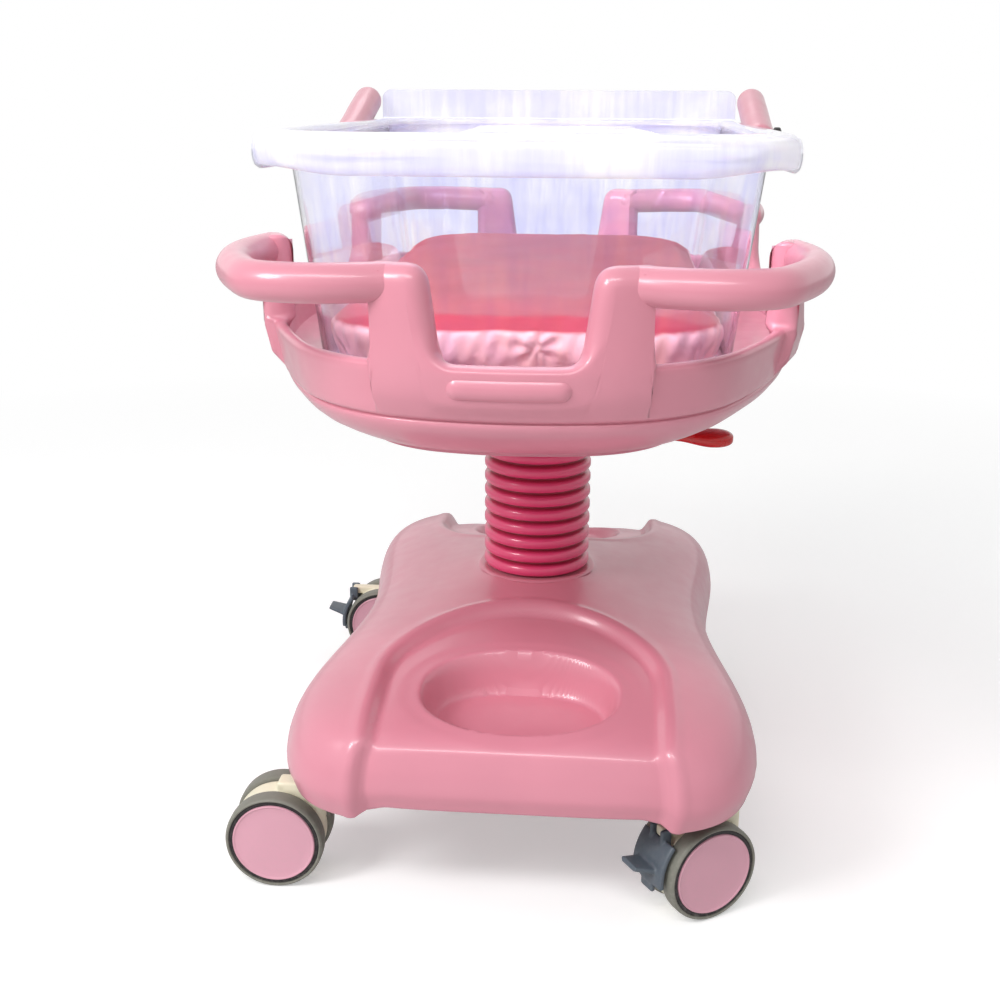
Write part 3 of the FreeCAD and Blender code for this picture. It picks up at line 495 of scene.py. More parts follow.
def moulded(name, tone, gloss=0.35, grain=0.15, drift=0.05, dust=0.0, coat=0.0):
    """Plastic, rubber or paint made from the moulded skin, with optional dust."""
    if name in bpy.data.materials:
        return bpy.data.materials[name]
    material, tree, shader = blank(name)
    skin = place_group(tree, moulded_skin(), Colour=(*tone, 1), Gloss=gloss, Grain=grain,
                       Drift=drift).outputs
    tint = skin["Colour"]
    if dust:
        mask = place_group(tree, settled_dust(), Amount=dust).outputs["Mask"]
        tint = mixed(tree, mask, tint, (0.42, 0.39, 0.35, 1))
    fed(tree, shader, {"Base Color": tint, "Roughness": skin["Roughness"],
                       "Normal": skin["Normal"], "Coat Weight": coat, "Coat Roughness": 0.12})
    return material


def moulding_material():
    return moulded("Pink moulding", colours().moulding, gloss=0.33, grain=0.06, drift=0.03,
                   coat=0.45)


def brushed_metal(name, tone, gloss, along):
    """Bare metal with fine drawn lines along one axis."""
    if name in bpy.data.materials:
        return bpy.data.materials[name]
    material, tree, shader = blank(name)
    squeeze = [0.04 if axis == along else 1.0 for axis in "XYZ"]
    lines = noise(tree, stretched(tree, object_place(tree), squeeze), 1400.0, 3.0, 0.7)
    skin = place_group(tree, moulded_skin(), Colour=(*tone, 1), Drift=0.08)
    fed(tree, shader, {"Base Color": skin.outputs["Colour"], "Metallic": 1.0,
                       "Roughness": spread(tree, lines, 0.3, 0.7, gloss - 0.08, gloss + 0.12),
                       "Normal": bumped(tree, lines, 0.0001, 0.25)})
    return material


def clear_material(name, through, cloudy):
    """Clear plastic over a lavender tint, with painted reflections as pale streaks down its walls,
    rougher along the same streaks; through and cloudy set how milky each use is.
    """
    material, tree, shader = blank(name)
    where = object_place(tree)
    reflection_streak = noise(tree, stretched(tree, where, (1.0, 1.0, 0.06)), 90.0, 4.0, 0.65)
    cloud = noise(tree, where, 16.0, 3.0)
    both = reckon(tree, "MULTIPLY", reflection_streak, cloud)
    # painted reflection: pale vertical streaks mixed into the base colour
    fed(tree, shader, {
        "Base Color": mixed(tree, spread(tree, both, 0.14, 0.36, 0.0, 1.0),
                            (*colours().clear, 1), (0.99, 0.985, 1.0, 1)),
        "Roughness": spread(tree, both, 0.15, 0.45, 0.0, cloudy),
        "Normal": bumped(tree, cloud, 0.001, 0.08),
        "Transmission Weight": through, "IOR": 1.45})
    return material


def mattress_material():
    """A woven rose face and glossier satin sides, told apart by the piece's own attribute, with
    painted shade in the face's deeper colour and painted light in the sides' paler colour.
    """
    material, tree, shader = blank("Mattress cloth")
    where = object_place(tree)
    face = add(tree, "Attribute", attribute_name="top_face_and_shade_share").outputs["Fac"]
    warp, weft = (fed(tree, add(tree, "TexWave", Scale=420.0, Distortion=0.4, bands_direction=way),
                      {"Vector": where}).outputs["Fac"] for way in "XY")
    weave = reckon(tree, "MULTIPLY", warp, weft)
    shade = spread(tree, noise(tree, where, 14.0, 3.0), 0.3, 0.7, 0.92, 1.08)
    top_tone_with_shade = toned(tree, (*colours().mattress_top_shaded, 1), shade)
    height = reckon(tree, "MULTIPLY_ADD", weave, 0.12, noise(tree, where, 60.0, 4.0, 0.6))
    fed(tree, shader, {
        # painted light and shade: the sides take the paler colour and the top the deeper one, by
        # which way they face
        "Base Color": mixed(tree, face, (*colours().mattress_side_lit, 1), top_tone_with_shade),
        "Roughness": spread(tree, face, 0.0, 1.0, 0.30, 0.72),
        "Normal": bumped(tree, height, 0.0015, 0.35),
        "Sheen Weight": 0.25, "Sheen Roughness": 0.4})
    return material


def bellows_material():
    """Rubber folds in their own colour on the crests, with painted shade in deep red darkening the
    grooves between them.
    """
    material, tree, shader = blank("Bellows rubber")
    skin = place_group(tree, moulded_skin(), Colour=(*colours().fold, 1), Gloss=0.34, Grain=0.3,
                       Drift=0.05).outputs
    crest = add(tree, "Attribute", attribute_name="crest_share").outputs["Fac"]
    cloud = noise(tree, object_place(tree), 70.0, 3.0)
    fed(tree, shader, {
        # painted shade: the crest share fades the rubber's own colour into the dark groove shade
        "Base Color": mixed(tree, crest, (*colours().groove_shade, 1), skin["Colour"]),
        "Roughness": spread(tree, cloud, 0.3, 0.7, 0.28, 0.42), "Normal": skin["Normal"],
        "Coat Weight": 0.6, "Coat Roughness": 0.16})
    return material


# ------------------------------------------------------------------ base cover
def base_rows(count):
    """Half width, half lengths, squareness and height for each row from the edge to the collar."""
    s = sizes()
    full = s.base_half_length * 1000
    table = [(s.base_half_width * 1000 * w, full * front, full * rear, p,
              s.base_bottom * 1000 + rise) for rise, w, front, rear, p in BASE_SECTIONS]
    table.append((*[s.collar_radius * 1000] * 3, 2.0, s.collar_top * 1000))
    smooth = spline(table, 700)
    run = np.concatenate([[0], np.cumsum(np.hypot(np.diff(smooth[:, 1]), np.diff(smooth[:, 4])))])
    wanted = np.linspace(0, run[-1], count)
    return np.array([[np.interp(d, run, smooth[:, k]) for k in range(5)] for d in wanted])


def base_reach(angles, half_w, front_l, rear_l, power):
    """Distance from the column to the outline in each direction."""
    s = sizes()
    cosine, sine = np.cos(angles), np.sin(angles)
    half_l = np.where(sine < 0, front_l, rear_l)
    low, high = np.zeros_like(angles), np.full_like(angles, 600.0)
    for _ in range(32):
        middle = (low + high) / 2
        y = middle * sine
        near = np.maximum(0, 1 - (y / 285.0) ** 2)
        width = half_w * (1 - s.base_waist * near * near)
        width = width * (1 - s.base_taper * y / (s.base_half_length * 1000))
        inside = np.abs(middle * cosine / width) ** power + np.abs(y / half_l) ** power < 1
        low, high = np.where(inside, middle, low), np.where(inside, high, middle)
    return low


def outward(points):
    """Unit normals of a grid of points, pointing away from the column's foot."""
    wide = np.concatenate([points[:, -2:-1], points, points[:, 1:2]], axis=1)
    across = wide[:, 2:] - wide[:, :-2]
    along = np.gradient(points, axis=0)
    normal = np.cross(across, along)
    normal /= np.maximum(np.linalg.norm(normal, axis=2), 1e-9)[:, :, None]
    return normal


def panel_distance(x, y):
    """Millimetres inside an arched end panel, negative outside it."""
    half = sizes().panel_half_width * 1000
    rise = np.maximum(0, 256 - np.abs(y)) / 141
    round_part = (1 - ((np.abs(x) / half) ** 2.05 + rise ** 2.05) ** (1 / 2.05)) * half
    flare = 9 * eased((np.abs(y) - 360) / 22)
    return np.where(np.abs(y) >= 256, half + flare - np.abs(x), round_part)


def bowl_distance(x, y):
    s = sizes()
    a, b = s.bowl_half_width * 1000, s.bowl_half_length * 1000
    e = (np.abs(x / a) ** 2.3 + np.abs((np.abs(y) - s.bowl_centre * 1000) / b) ** 2.3) ** (1 / 2.3)
    return (1 - e) * (a + b) / 2


def base_outer(angles, rows):
    s = sizes()
    points = []
    for half_w, front_l, rear_l, power, z in base_rows(rows):
        r = base_reach(angles, half_w, front_l, rear_l, power)
        points.append(np.stack([r * np.cos(angles), r * np.sin(angles), np.full_like(r, z)], 1))
    points = np.array(points)
    normal = outward(points)
    x, y = points[..., 0], points[..., 1]
    inside = panel_distance(x, y)
    depth = s.panel_depth * 1000 * (1 + 0.45 * eased(y / 60))
    sunk = depth * steady_eased((inside + 1) / 14)
    ridge = 1.3 * np.exp(-((inside + 6) / 5) ** 2)
    points = points - normal * (sunk - ridge)[..., None]
    into = bowl_distance(points[..., 0], points[..., 1])
    dish = 0.8 * eased((into + 20) / 12)
    z = points[..., 2] - dish * (inside > 0)
    share = steady_eased((into + 1) / 16)
    points[..., 2] = z * (1 - share) + s.bowl_floor * 1000 * share
    lift = 6 * eased((inside - 4) / 30) * eased((s.base_bottom * 1000 + 40 - points[..., 2]) / 40)
    points[..., 2] += lift * eased((np.abs(points[..., 1]) - 300) / 40)
    return points


def bearing_steps():
    """Directions round the column, closer together over the bowls."""
    fine = np.radians(np.arange(54, 126, 0.6))
    wide = np.radians(np.arange(-54, 54, 2.0))
    half = np.concatenate([wide, fine])
    return np.concatenate([half, half + math.pi, half[:1] + 2 * math.pi])


class BASSINET_OT_base(bpy.types.Operator):
    """Model the base cover with its sunk panels, two bowls and collar"""
    bl_idname = "bassinet.base"
    bl_label = "Base cover"

    def execute(self, context):
        s = sizes()
        angles = bearing_steps()
        outer = base_outer(angles, 140)
        inner = outer - outward(outer) * BASE_WALL
        inner[0] = outer[0] - outward(outer)[0] * [3.6, 3.6, 0]
        top = s.collar_top * 1000
        flat = np.stack([np.cos(angles), np.sin(angles), np.zeros_like(angles)], 1)

        def ring(radius, z):
            return flat * radius + [0, 0, z]

        edge = (outer[0] + inner[0]) / 2 - [0, 0, 1.4]
        collar = s.collar_radius * 1000
        crown = [ring(collar - 1, top), ring(collar - 3, top + 0.6), ring(collar - 7, top),
                 ring(47, top), ring(47, top - 4)]
        rows = [edge] + list(outer[:-1]) + [ring(collar + 0.4, top - 1.4)] + crown
        rows += [ring(52, top - 5)] + [inner[i] for i in range(len(inner) - 2, -1, -3)]
        rows += [inner[0], edge]
        piece = wrapped("base_shell", np.array(rows))
        finished(piece, 50, moulding_material())
        give(piece, "base", "pink_abs", "base_cover")
        return {"FINISHED"}


# ------------------------------------------------------------------ tray plan
class TrayPlan:
    """The tray's oval of three arcs a quarter, walked from the foot end to the side."""

    def __init__(self):
        self.half_w, self.half_l = 268.0, 437.0
        self.side_r, self.end_r, self.corner_r = 760.0, 340.0, 165.0
        side_x, end_y = self.half_w - self.side_r, self.half_l - self.end_r
        p, q = self.side_r - self.corner_r, self.end_r - self.corner_r
        d = math.hypot(side_x, end_y)
        a = (p * p - q * q + d * d) / (2 * d)
        h = math.sqrt(p * p - a * a)
        ux, uy = -side_x / d, end_y / d
        self.cx, self.cy = side_x + a * ux + h * uy, a * uy - h * ux
        if self.cx < 0 or self.cy < 0:
            self.cx, self.cy = side_x + a * ux - h * uy, a * uy + h * ux
        self.side_x, self.end_y = side_x, end_y
        self.turn_1 = math.atan2(self.cx, self.cy - end_y)
        self.turn_2 = math.pi / 2 - math.atan2(self.cy, self.cx - side_x)
        self.s1 = self.end_r * self.turn_1
        self.s2 = self.s1 + self.corner_r * (self.turn_2 - self.turn_1)
        self.s3 = self.s2 + self.side_r * (math.pi / 2 - self.turn_2)

    def at_x(self, x):
        return self.end_r * math.asin(x / self.end_r)

    def at_y(self, y):
        return self.s3 - self.side_r * math.asin(y / self.side_r)

    def point(self, s, offset):
        """Arrays of x and -y in the first quarter for walked lengths and offsets."""
        s = np.asarray(s, float)
        turn = np.where(s < self.s1, s / self.end_r,
                        np.where(s < self.s2, self.turn_1 + (s - self.s1) / self.corner_r,
                                 self.turn_2 + (s - self.s2) / self.side_r))
        cx = np.where(s < self.s1, 0, np.where(s < self.s2, self.cx, self.side_x))
        cy = np.where(s < self.s1, self.end_y, np.where(s < self.s2, self.cy, 0))
        r = np.where(s < self.s1, self.end_r, np.where(s < self.s2, self.corner_r, self.side_r))
        return cx + (r + offset) * np.sin(turn), cy + (r + offset) * np.cos(turn)


def rounded_path(corners, radii, pitch):
    """A line through corners with round bends, cut into steps no longer than pitch."""
    points = [np.array(corners[0], float)]
    for i in range(1, len(corners) - 1):
        a, b, c = (np.array(p, float) for p in corners[i - 1:i + 2])
        before, after = (a - b) / np.linalg.norm(a - b), (c - b) / np.linalg.norm(c - b)
        half = math.acos(max(-1, min(1, float(before @ after)))) / 2
        reach = min(radii[i] / math.tan(half), np.linalg.norm(a - b) * 0.49,
                    np.linalg.norm(c - b) * 0.49)
        start, end = b + before * reach, b + after * reach
        for t in np.linspace(0, 1, 9):
            points.append((1 - t) ** 2 * start + 2 * t * (1 - t) * b + t * t * end)
    points.append(np.array(corners[-1], float))
    result = [points[0]]
    for point in points[1:]:
        gap = np.linalg.norm(point - result[-1])
        for k in range(1, int(gap // pitch) + 1):
            result.append(result[-1] + (point - result[-1]) / (int(gap // pitch) + 2 - k))
        result.append(point)
    return np.array(result)


def tray_columns(plan):
    """The rim line of one quarter as (walked length, height), and its inward side."""
    s = sizes()
    sill, top = s.tray_sill * 1000, (s.grip_height + s.grip_diameter / 2) * 1000
    x_in, x_top, x_out = (plan.at_x(x) for x in END_POST)
    y_in, y_top, y_out = (plan.at_y(y) for y in SIDE_POST)
    corners = [(0, sill + 1), (x_in, sill + 1), (x_top, top), (x_out, top), (x_out + 0.5, sill),
               (y_out - 0.5, sill), (y_out, top), (y_top, top), (y_in, sill), (plan.s3, sill)]
    radii = [0, 16, 20, 5, 7, 7, 5, 20, 16, 0]
    path = rounded_path(corners, radii, 7.0)
    ahead = np.gradient(path, axis=0)
    ahead /= np.linalg.norm(ahead, axis=1)[:, None]
    inward = np.stack([ahead[:, 1], -ahead[:, 0]], 1)
    return path, inward


TRAY_LOWER = ((478, -66), (478, -62), (479.5, -56), (484, -44), (489, -33), (496, -20), (504, -10),
              (511, -4.6), (514, -3.2), (516, -3), (517, -3.6), (518, -4.6), (519.2, -3.6),
              (520.6, -0.4), (522, 0.4))


def tray_outside(walked, z, plan):
    """Offset of the outer wall, proud over the posts and the foot end's middle."""
    s = sizes()
    lean = 0.4 + 8.6 * np.clip((z - TRAY_UNDER) / 38, 0, 1)
    end = 1 - eased((walked - plan.at_x(107)) / 4)
    side = eased((walked - plan.at_y(239)) / 6) * (1 - eased((walked - plan.at_y(184)) / 8))
    proud = np.maximum(end, side) * eased((z - 521) / 16)
    return lean + proud * 8.5 + proud * 1.5 * np.clip((z - s.tray_sill * 1000) / 60, 0, 1)


def tray_inside(walked, z, plan):
    post = eased((z - 556) / 14)
    end = eased((walked - plan.at_x(END_POST[0])) / 6) * (1 - eased((walked - plan.at_x(106)) / 6))
    side = eased((walked - plan.at_y(239)) / 6) * (1 - eased((walked - plan.at_y(184)) / 8))
    wall = -7 + 12 * (z - 528) / 98
    return wall * (1 - post * np.maximum(end, side)) - 12 * post * np.maximum(end, side)


def tray_quarter(plan):
    """Rows of (x, -y, z) over one quarter of the tray, from under its floor to the floor's top."""
    s = sizes()
    path, inward = tray_columns(plan)
    sill = s.tray_sill * 1000
    postness = eased((path[:, 1] - sill - 2) / 26)
    rim = 5.0 + 9.5 * postness
    inset = path + inward * rim[:, None]
    weight = np.hypot(np.diff(path[:, 0]), 0.22 * np.diff(path[:, 1]))
    base = np.concatenate([[0], np.cumsum(weight)])
    base *= plan.s3 / base[-1]
    # the rows below the rim lean back towards evenly spread columns
    base = 0.75 * np.maximum.accumulate(path[:, 0]) + 0.25 * base
    rows = []

    def row(walked, z, offset, scale=1.0):
        x, y = plan.point(np.clip(walked, 0, plan.s3), offset)
        rows.append(np.stack([x * scale, y * scale, z * np.ones_like(x)], 1))

    floor = s.tray_floor * 1000
    for scale in (0.0, 0.25, 0.5, 0.75, 0.92, 1.0):
        row(base, TRAY_UNDER, -12, scale)
    for z, offset in ((512, -11), (496, -27), (484, -50), (478.4, -67), *TRAY_LOWER):
        row(base, z, offset)
    for t in np.linspace(0, 1, 9)[1:]:
        walked = base + (inset[:, 0] - base) * t
        z = TRAY_UNDER + (inset[:, 1] - TRAY_UNDER) * t
        row(walked, z, tray_outside(walked, z, plan))
    outer = tray_outside(inset[:, 0], inset[:, 1], plan)
    inner = tray_inside(inset[:, 0], inset[:, 1], plan)
    middle, half = (outer + inner) / 2, (outer - inner) / 2
    for a in np.linspace(0, math.pi, 13)[1:-1]:
        at = inset + (path - inset) * math.sin(a)
        row(at[:, 0], at[:, 1], middle + half * math.cos(a))
    for t in np.linspace(1, 0, 9)[:-1]:
        walked = base + (inset[:, 0] - base) * t
        z = floor + 5 + (inset[:, 1] - floor - 5) * t
        row(walked, z, tray_inside(walked, z, plan))
    row(base, floor + 5, -7)
    row(base, floor + 1.5, -8.4)
    for scale in (1.0, 0.92, 0.75, 0.5, 0.25, 0.0):
        row(base, floor, -12, scale)
    return np.array(rows)


def full_turn(quarter):
    """Mirror a quarter's rows into the whole round, its last column the same as its first."""
    x, y, z = quarter[..., 0], quarter[..., 1], quarter[..., 2]
    first = np.stack([x, -y, z], 2)
    second = np.stack([x, y, z], 2)[:, ::-1][:, 1:]
    third = np.stack([-x, y, z], 2)[:, 1:]
    fourth = np.stack([-x, -y, z], 2)[:, ::-1][:, 1:]
    return np.concatenate([first, second, third, fourth], axis=1)


def copy_turned(piece, name, matrix, flip=False):
    """A copy with its own mesh, placed by a matrix that is put into the mesh."""
    twin = piece.copy()
    twin.data = piece.data.copy()
    twin.name = name
    twin.data.name = name
    bpy.context.scene.collection.objects.link(twin)
    twin.matrix_world = matrix
    settle(twin)
    if flip:
        edit(twin)
        bpy.ops.mesh.normals_make_consistent(inside=False)
        bpy.ops.object.mode_set(mode="OBJECT")
    return twin


class BASSINET_OT_tray(bpy.types.Operator):
    """Model the oval tray with its posts, sills, seam, lips and corner grips"""
    bl_idname = "bassinet.tray"
    bl_label = "Tray"

    def execute(self, context):
        s = sizes()
        plan = TrayPlan()
        shell = wrapped("tray_body", full_turn(tray_quarter(plan)))
        finished(shell, 45, moulding_material())
        give(shell, "tray", "pink_abs", "tray_shell")

        z = s.grip_height * 1000
        line = [(x, y, z) for x, y in spline(GRIP_LINE, 46)]
        line, radii = round_ended(line, s.grip_diameter * 500)
        grip = swept("front_right_grip", line, radii, 36)
        finished(grip, 60, moulding_material())
        for name, sx, sy in (("front_left_grip", -1, 1), ("rear_right_grip", 1, -1),
                             ("rear_left_grip", -1, -1)):
            twin = copy_turned(grip, name, Matrix.Diagonal((sx, sy, 1, 1)), True)
            give(twin, "tray", "pink_abs")
        give(grip, "tray", "pink_abs")

        lip = [(x, -444.2 + 0.0016 * x * x, 550) for x in np.linspace(-40, 40, 15)]
        lip, radii = round_ended(lip, 12)
        front = swept("front_lip", lip, radii, 32)
        finished(front, 60, moulding_material())
        back = copy_turned(front, "rear_lip", Matrix.Diagonal((1, -1, 1, 1)), True)
        give(front, "tray", "pink_abs")
        give(back, "tray", "pink_abs")
        return {"FINISHED"}


# ------------------------------------------------------------------ tub
def plan_points(half_w, half_l, radius):
    """A rounded rectangle as a closed ring of points, its last the same as its first."""
    corners = ((1, 1, 0), (-1, 1, 90), (-1, -1, 180), (1, -1, 270))
    arcs = []
    for sx, sy, start in corners:
        turn = np.radians(np.linspace(start, start + 90, 15))
        arcs.append(np.stack([sx * (half_w - radius) + radius * np.cos(turn),
                              sy * (half_l - radius) + radius * np.sin(turn)], 1))
    ring = []
    for i, arc in enumerate(arcs):
        after = arcs[(i + 1) % 4][0]
        straight = [arc[-1] + (after - arc[-1]) * t for t in np.linspace(0, 1, 13)[1:-1]]
        ring += list(arc) + straight
    return np.array(ring + ring[:1])


def tub_rows():
    """Rows of the clear shell, outside from its foot to the skirt and inside down to its floor."""
    s = sizes()
    w, l, t = s.tub_half_width * 1000, s.tub_half_length * 1000, s.tub_wall * 1000
    top, z0 = s.flange_height * 1000, s.tray_floor * 1000 + 0.2
    fw, fl = FLANGE_HALF_W, FLANGE_HALF_L
    low = top - s.skirt_height * 1000

    def wall(inset, radius, z, scale=1):
        return w - inset, l - inset, radius, z, scale

    def rim(inset, radius, z):
        return fw - inset, fl - inset, radius, z, 1

    rows = [wall(32, 90, z0, k) for k in (0, 0.4, 0.8, 1)]
    rows += [wall(28, 92, z0 + 0.8), wall(24.6, 93, z0 + 4), wall(22.6, 94, z0 + 9)]
    rows += [wall(TUB_DRAFT * (1 - k), WALL_CORNER - 11 * (1 - k), z0 + 14 + (top - z0 - 22) * k)
             for k in np.linspace(0, 1, 9)]
    rows += [wall(-1.5, 106, top - 5), wall(-4.5, 104, top - t)]
    rows += [rim(*row) for row in (
        (14, 84, top - t), (9, 85, top - t - 1.6), (5.6, 85, top - 8), (t, 85, top - 13),
        (t, 85, low + 11), (5.2, 85, low + 4.5), (7.2, 85, low + 1.6), (6.4, 85.6, low + 0.2),
        (4.2, 86.4, low), (2, 87, low + 2), (0.6, 88, low + 6), (0, 88, low + 11),
        (0, 88, top - 13), (0.9, 87.5, top - 8), (3.2, 86, top - 4.2), (6.6, 84, top - 1.8),
        (10.5, 83, top - 0.5), (15, 82, top))]
    rows += [wall(-5, 104, top), wall(-0.5, 105, top - 0.5), wall(2.6, 104, top - 2.6),
             wall(t, 102, top - 7)]
    rows += [wall(TUB_DRAFT * (1 - k) + t, 91 + 11 * k, z0 + 16 + (top - z0 - 28) * k)
             for k in np.linspace(1, 0, 9)]
    rows += [wall(27.5, 89, z0 + 9), wall(31, 88, z0 + 5)]
    rows += [wall(36, 86, z0 + t, k) for k in (1, 0.8, 0.4, 0)]
    result = []
    for half_w, half_l, radius, z, scale in rows:
        plan = plan_points(half_w, half_l, radius) * scale
        x, y = np.abs(plan[:, 0]), np.abs(plan[:, 1])
        corner = eased((x - fw + 96) / 70) * eased((y - fl + 110) / 80)
        skirt = (half_w > fw - 8) * eased((top - 10 - z) / 20)
        result.append(np.stack([plan[:, 0], plan[:, 1], z + 6.0 * corner * skirt], 1))
    return np.array(result)


def upright_ring(half_w, low, high, radius):
    """An upright outline with round top corners as x and z, closed on its first point."""
    turn = np.radians(np.linspace(0, 90, 9))
    right = np.stack([half_w - radius + radius * np.cos(turn),
                      high - radius + radius * np.sin(turn)], 1)
    left = right[::-1] * [-1, 1]
    return np.vstack([[(-half_w, low), (half_w, low)], right, left, [(-half_w, low)]])


def head_panel():
    """The clear panel that stands on the rim's head end between the grips."""
    s = sizes()
    low, high = s.flange_height * 1000 + 0.1, s.head_panel * 1000
    near = s.tub_half_length * 1000 - s.tub_wall * 1000
    rows = []
    for inset, y, scale in ((0.9, 0, 0), (0.9, 0, 1), (0.25, 0.3, 1), (0, 1, 1), (0, 3, 1),
                            (0.25, 3.7, 1), (0.9, 4, 1), (0.9, 4, 0)):
        ring = upright_ring(233.5 - inset, low + min(inset, 0.4), high - inset, 12 - inset)
        middle = np.array([0, (low + high) / 2])
        ring = middle + (ring - middle) * scale
        rows.append(np.stack([ring[:, 0], np.full(len(ring), near + y), ring[:, 1]], 1))
    return wrapped("head_panel", np.array(rows))


class BASSINET_OT_tub(bpy.types.Operator):
    """Model the clear tub with its floor, walls, flange and skirt"""
    bl_idname = "bassinet.tub"
    bl_label = "Clear tub"

    @staticmethod
    def outside(x, y):
        """Whether a point in the first quarter lies beyond the wall's round corner."""
        s = sizes()
        corner = WALL_CORNER / 1000
        dx, dy = x - s.tub_half_width + corner, y - s.tub_half_length + corner
        return min(dx, dy) > 0 and math.hypot(dx, dy) > 0.109

    def execute(self, context):
        s = sizes()
        walls = clear_material("Clear acrylic", 0.98, 0.01)
        # The rim and skirt take a milkier copy of the clear plastic, whose pale diffuse white
        # paints the rim's bright reflection.
        rim_sheen_finish = clear_material("Clear rim", 0.62, 0.16)
        upright = clear_material("Clear panel", 0.86, 0.08)
        piece = wrapped("clear_tub", tub_rows())
        panel = head_panel()
        for part, finish in ((piece, walls), (panel, upright)):
            finished(part, 50, finish)
            part.visible_shadow = False
        piece.data.materials.append(rim_sheen_finish)
        low = s.flange_height - s.skirt_height - 0.001
        side = s.tub_half_width + 0.003, s.tub_half_length + 0.003
        # faces of the rim top and outer skirt take the milkier copy, the painted reflection
        for face in piece.data.polygons:
            x, y, z = face.center
            if z > s.flange_height - 0.008 or (z > low and (abs(x) > side[0] or abs(y) > side[1]
                                                            or self.outside(abs(x), abs(y)))):
                face.material_index = 1
        give(piece, "tub", "clear_acrylic", "tub")
        give(panel, "tub", "clear_acrylic")
        return {"FINISHED"}


# ------------------------------------------------------------------ mattress
def mattress_pad():
    s = sizes()
    top, low = s.mattress_top * 1000, s.tray_floor * 1000 + 4.6
    rows = [(168, 317, 78, low + 1, scale) for scale in (0, 0.5, 0.9, 1)]
    rows += [(174, 323, 80, low + 2.5, 1), (178, 327, 83, low + 8, 1), (181, 330, 85, low + 20, 1),
             (185, 334, 86, top - 16, 1), (185, 334, 86, top - 8, 1), (181, 330, 84, top - 2.5, 1),
             (173, 322, 80, top - 1, 1)]
    rows += [(173, 322, 80, top - 0.5 + 0.8 * (1 - k), k) for k in (0.9, 0.5, 0)]
    result = []
    for half_w, half_l, radius, z, scale in rows:
        plan = plan_points(half_w, half_l, radius) * scale
        share = eased((z - low - 8) / (top - low - 8))
        lift = s.mattress_rise * 1000 * (plan[:, 1] + 331) / 662 * share
        result.append(np.stack([plan[:, 0], plan[:, 1], z + lift], 1))
    return wrapped("mattress_pad", np.array(result))


def swollen(piece, pressure=3.0, frames=16, cap=0.006):
    """Fill the pad with cloth simulation, each point moving no further than the cap."""
    start = mesh_values(piece)
    only(piece)
    bpy.ops.object.modifier_add(type="CLOTH")
    cloth = piece.modifiers[-1]
    cloth.settings.use_pressure = True
    cloth.settings.uniform_pressure_force = pressure
    cloth.settings.effector_weights.gravity = 0
    cloth.settings.tension_stiffness = 18
    cloth.settings.compression_stiffness = 18
    cloth.settings.bending_stiffness = 0.4
    cloth.point_cache.frame_start = 1
    cloth.point_cache.frame_end = frames
    for number in range(1, frames + 1):
        bpy.context.scene.frame_set(number)
    bpy.ops.object.modifier_apply(modifier=cloth.name)
    bpy.context.scene.frame_set(1)
    move = mesh_values(piece) - start
    reach = np.linalg.norm(move, axis=1)
    share = np.where(reach > cap, cap / np.maximum(reach, 1e-9), 1.0)
    set_vertices(piece, start + move * share[:, None])
    return piece


def creased(piece):
    """Draw the satin sides into creases, with a gathered star at the foot end."""
    places = mesh_values(piece)
    only(piece)
    normals = mesh_values(piece, "normal")
    x, y, z = places.T * 1000
    around = np.where(np.abs(normals[:, 0]) > np.abs(normals[:, 1]), y, x)
    side = eased((0.75 - np.abs(normals[:, 2])) / 0.35)
    waves = np.sin(around * 0.21 + z * 0.12 + 1.3 * np.sin(around * 0.043))
    waves += 0.7 * np.sin(around * 0.37 - z * 0.16 + 2.0 * np.sin(around * 0.027 + 1))
    depth = 0.9 * waves * side
    star_x, star_z = x - 14.0, z - 560.0
    reach = np.hypot(star_x, star_z * 1.3)
    star = np.cos(7 * np.arctan2(star_z, star_x) + 0.8) * np.exp(-(reach / 34) ** 2)
    foot = eased((-y - 300) / 20)
    depth += (2.4 * star - 3.2 * np.exp(-(reach / 5.5) ** 2)) * foot * side
    quilt = 0.5 * np.sin(x * 0.055 + 0.9 * np.sin(y * 0.02)) * np.sin(y * 0.04 + 0.7)
    depth += quilt * eased((normals[:, 2] - 0.7) / 0.2)
    places = places + normals * depth[:, None] * 0.001
    core = np.clip(places[:, :2], [-0.095, -0.244], [0.095, 0.244])
    away = places[:, :2] - core
    reach = np.maximum(np.hypot(*away.T), 1e-6)
    limit = 0.0885 + 0.006 * np.clip((places[:, 2] - 0.534) / 0.05, 0, 1)
    places[:, :2] = core + away * np.minimum(1, limit / reach)[:, None]
    places[:, 2] = np.maximum(places[:, 2], 0.5323)
    set_vertices(piece, places)
    # the share of the top, where the material paints shade, against the sides, where it paints
    # light
    face = eased((normals[:, 2] - 0.45) / 0.3) * (z > 566)
    point_mask(piece, "top_face_and_shade_share", face)
    return piece


class BASSINET_OT_mattress(bpy.types.Operator):
    """Model the mattress as a filled pad with a woven face and creased satin sides"""
    bl_idname = "bassinet.mattress"
    bl_label = "Mattress"

    def execute(self, context):
        piece = mattress_pad()
        applied(piece, "REMESH", mode="VOXEL", voxel_size=0.0055)
        applied(piece, "SMOOTH", factor=0.5, iterations=4)
        swollen(piece)
        applied(piece, "SUBSURF", levels=1, render_levels=1)
        creased(piece)
        soft_finished(piece, mattress_material())
        give(piece, "mattress", "mattress_satin", "mattress")
        return {"FINISHED"}


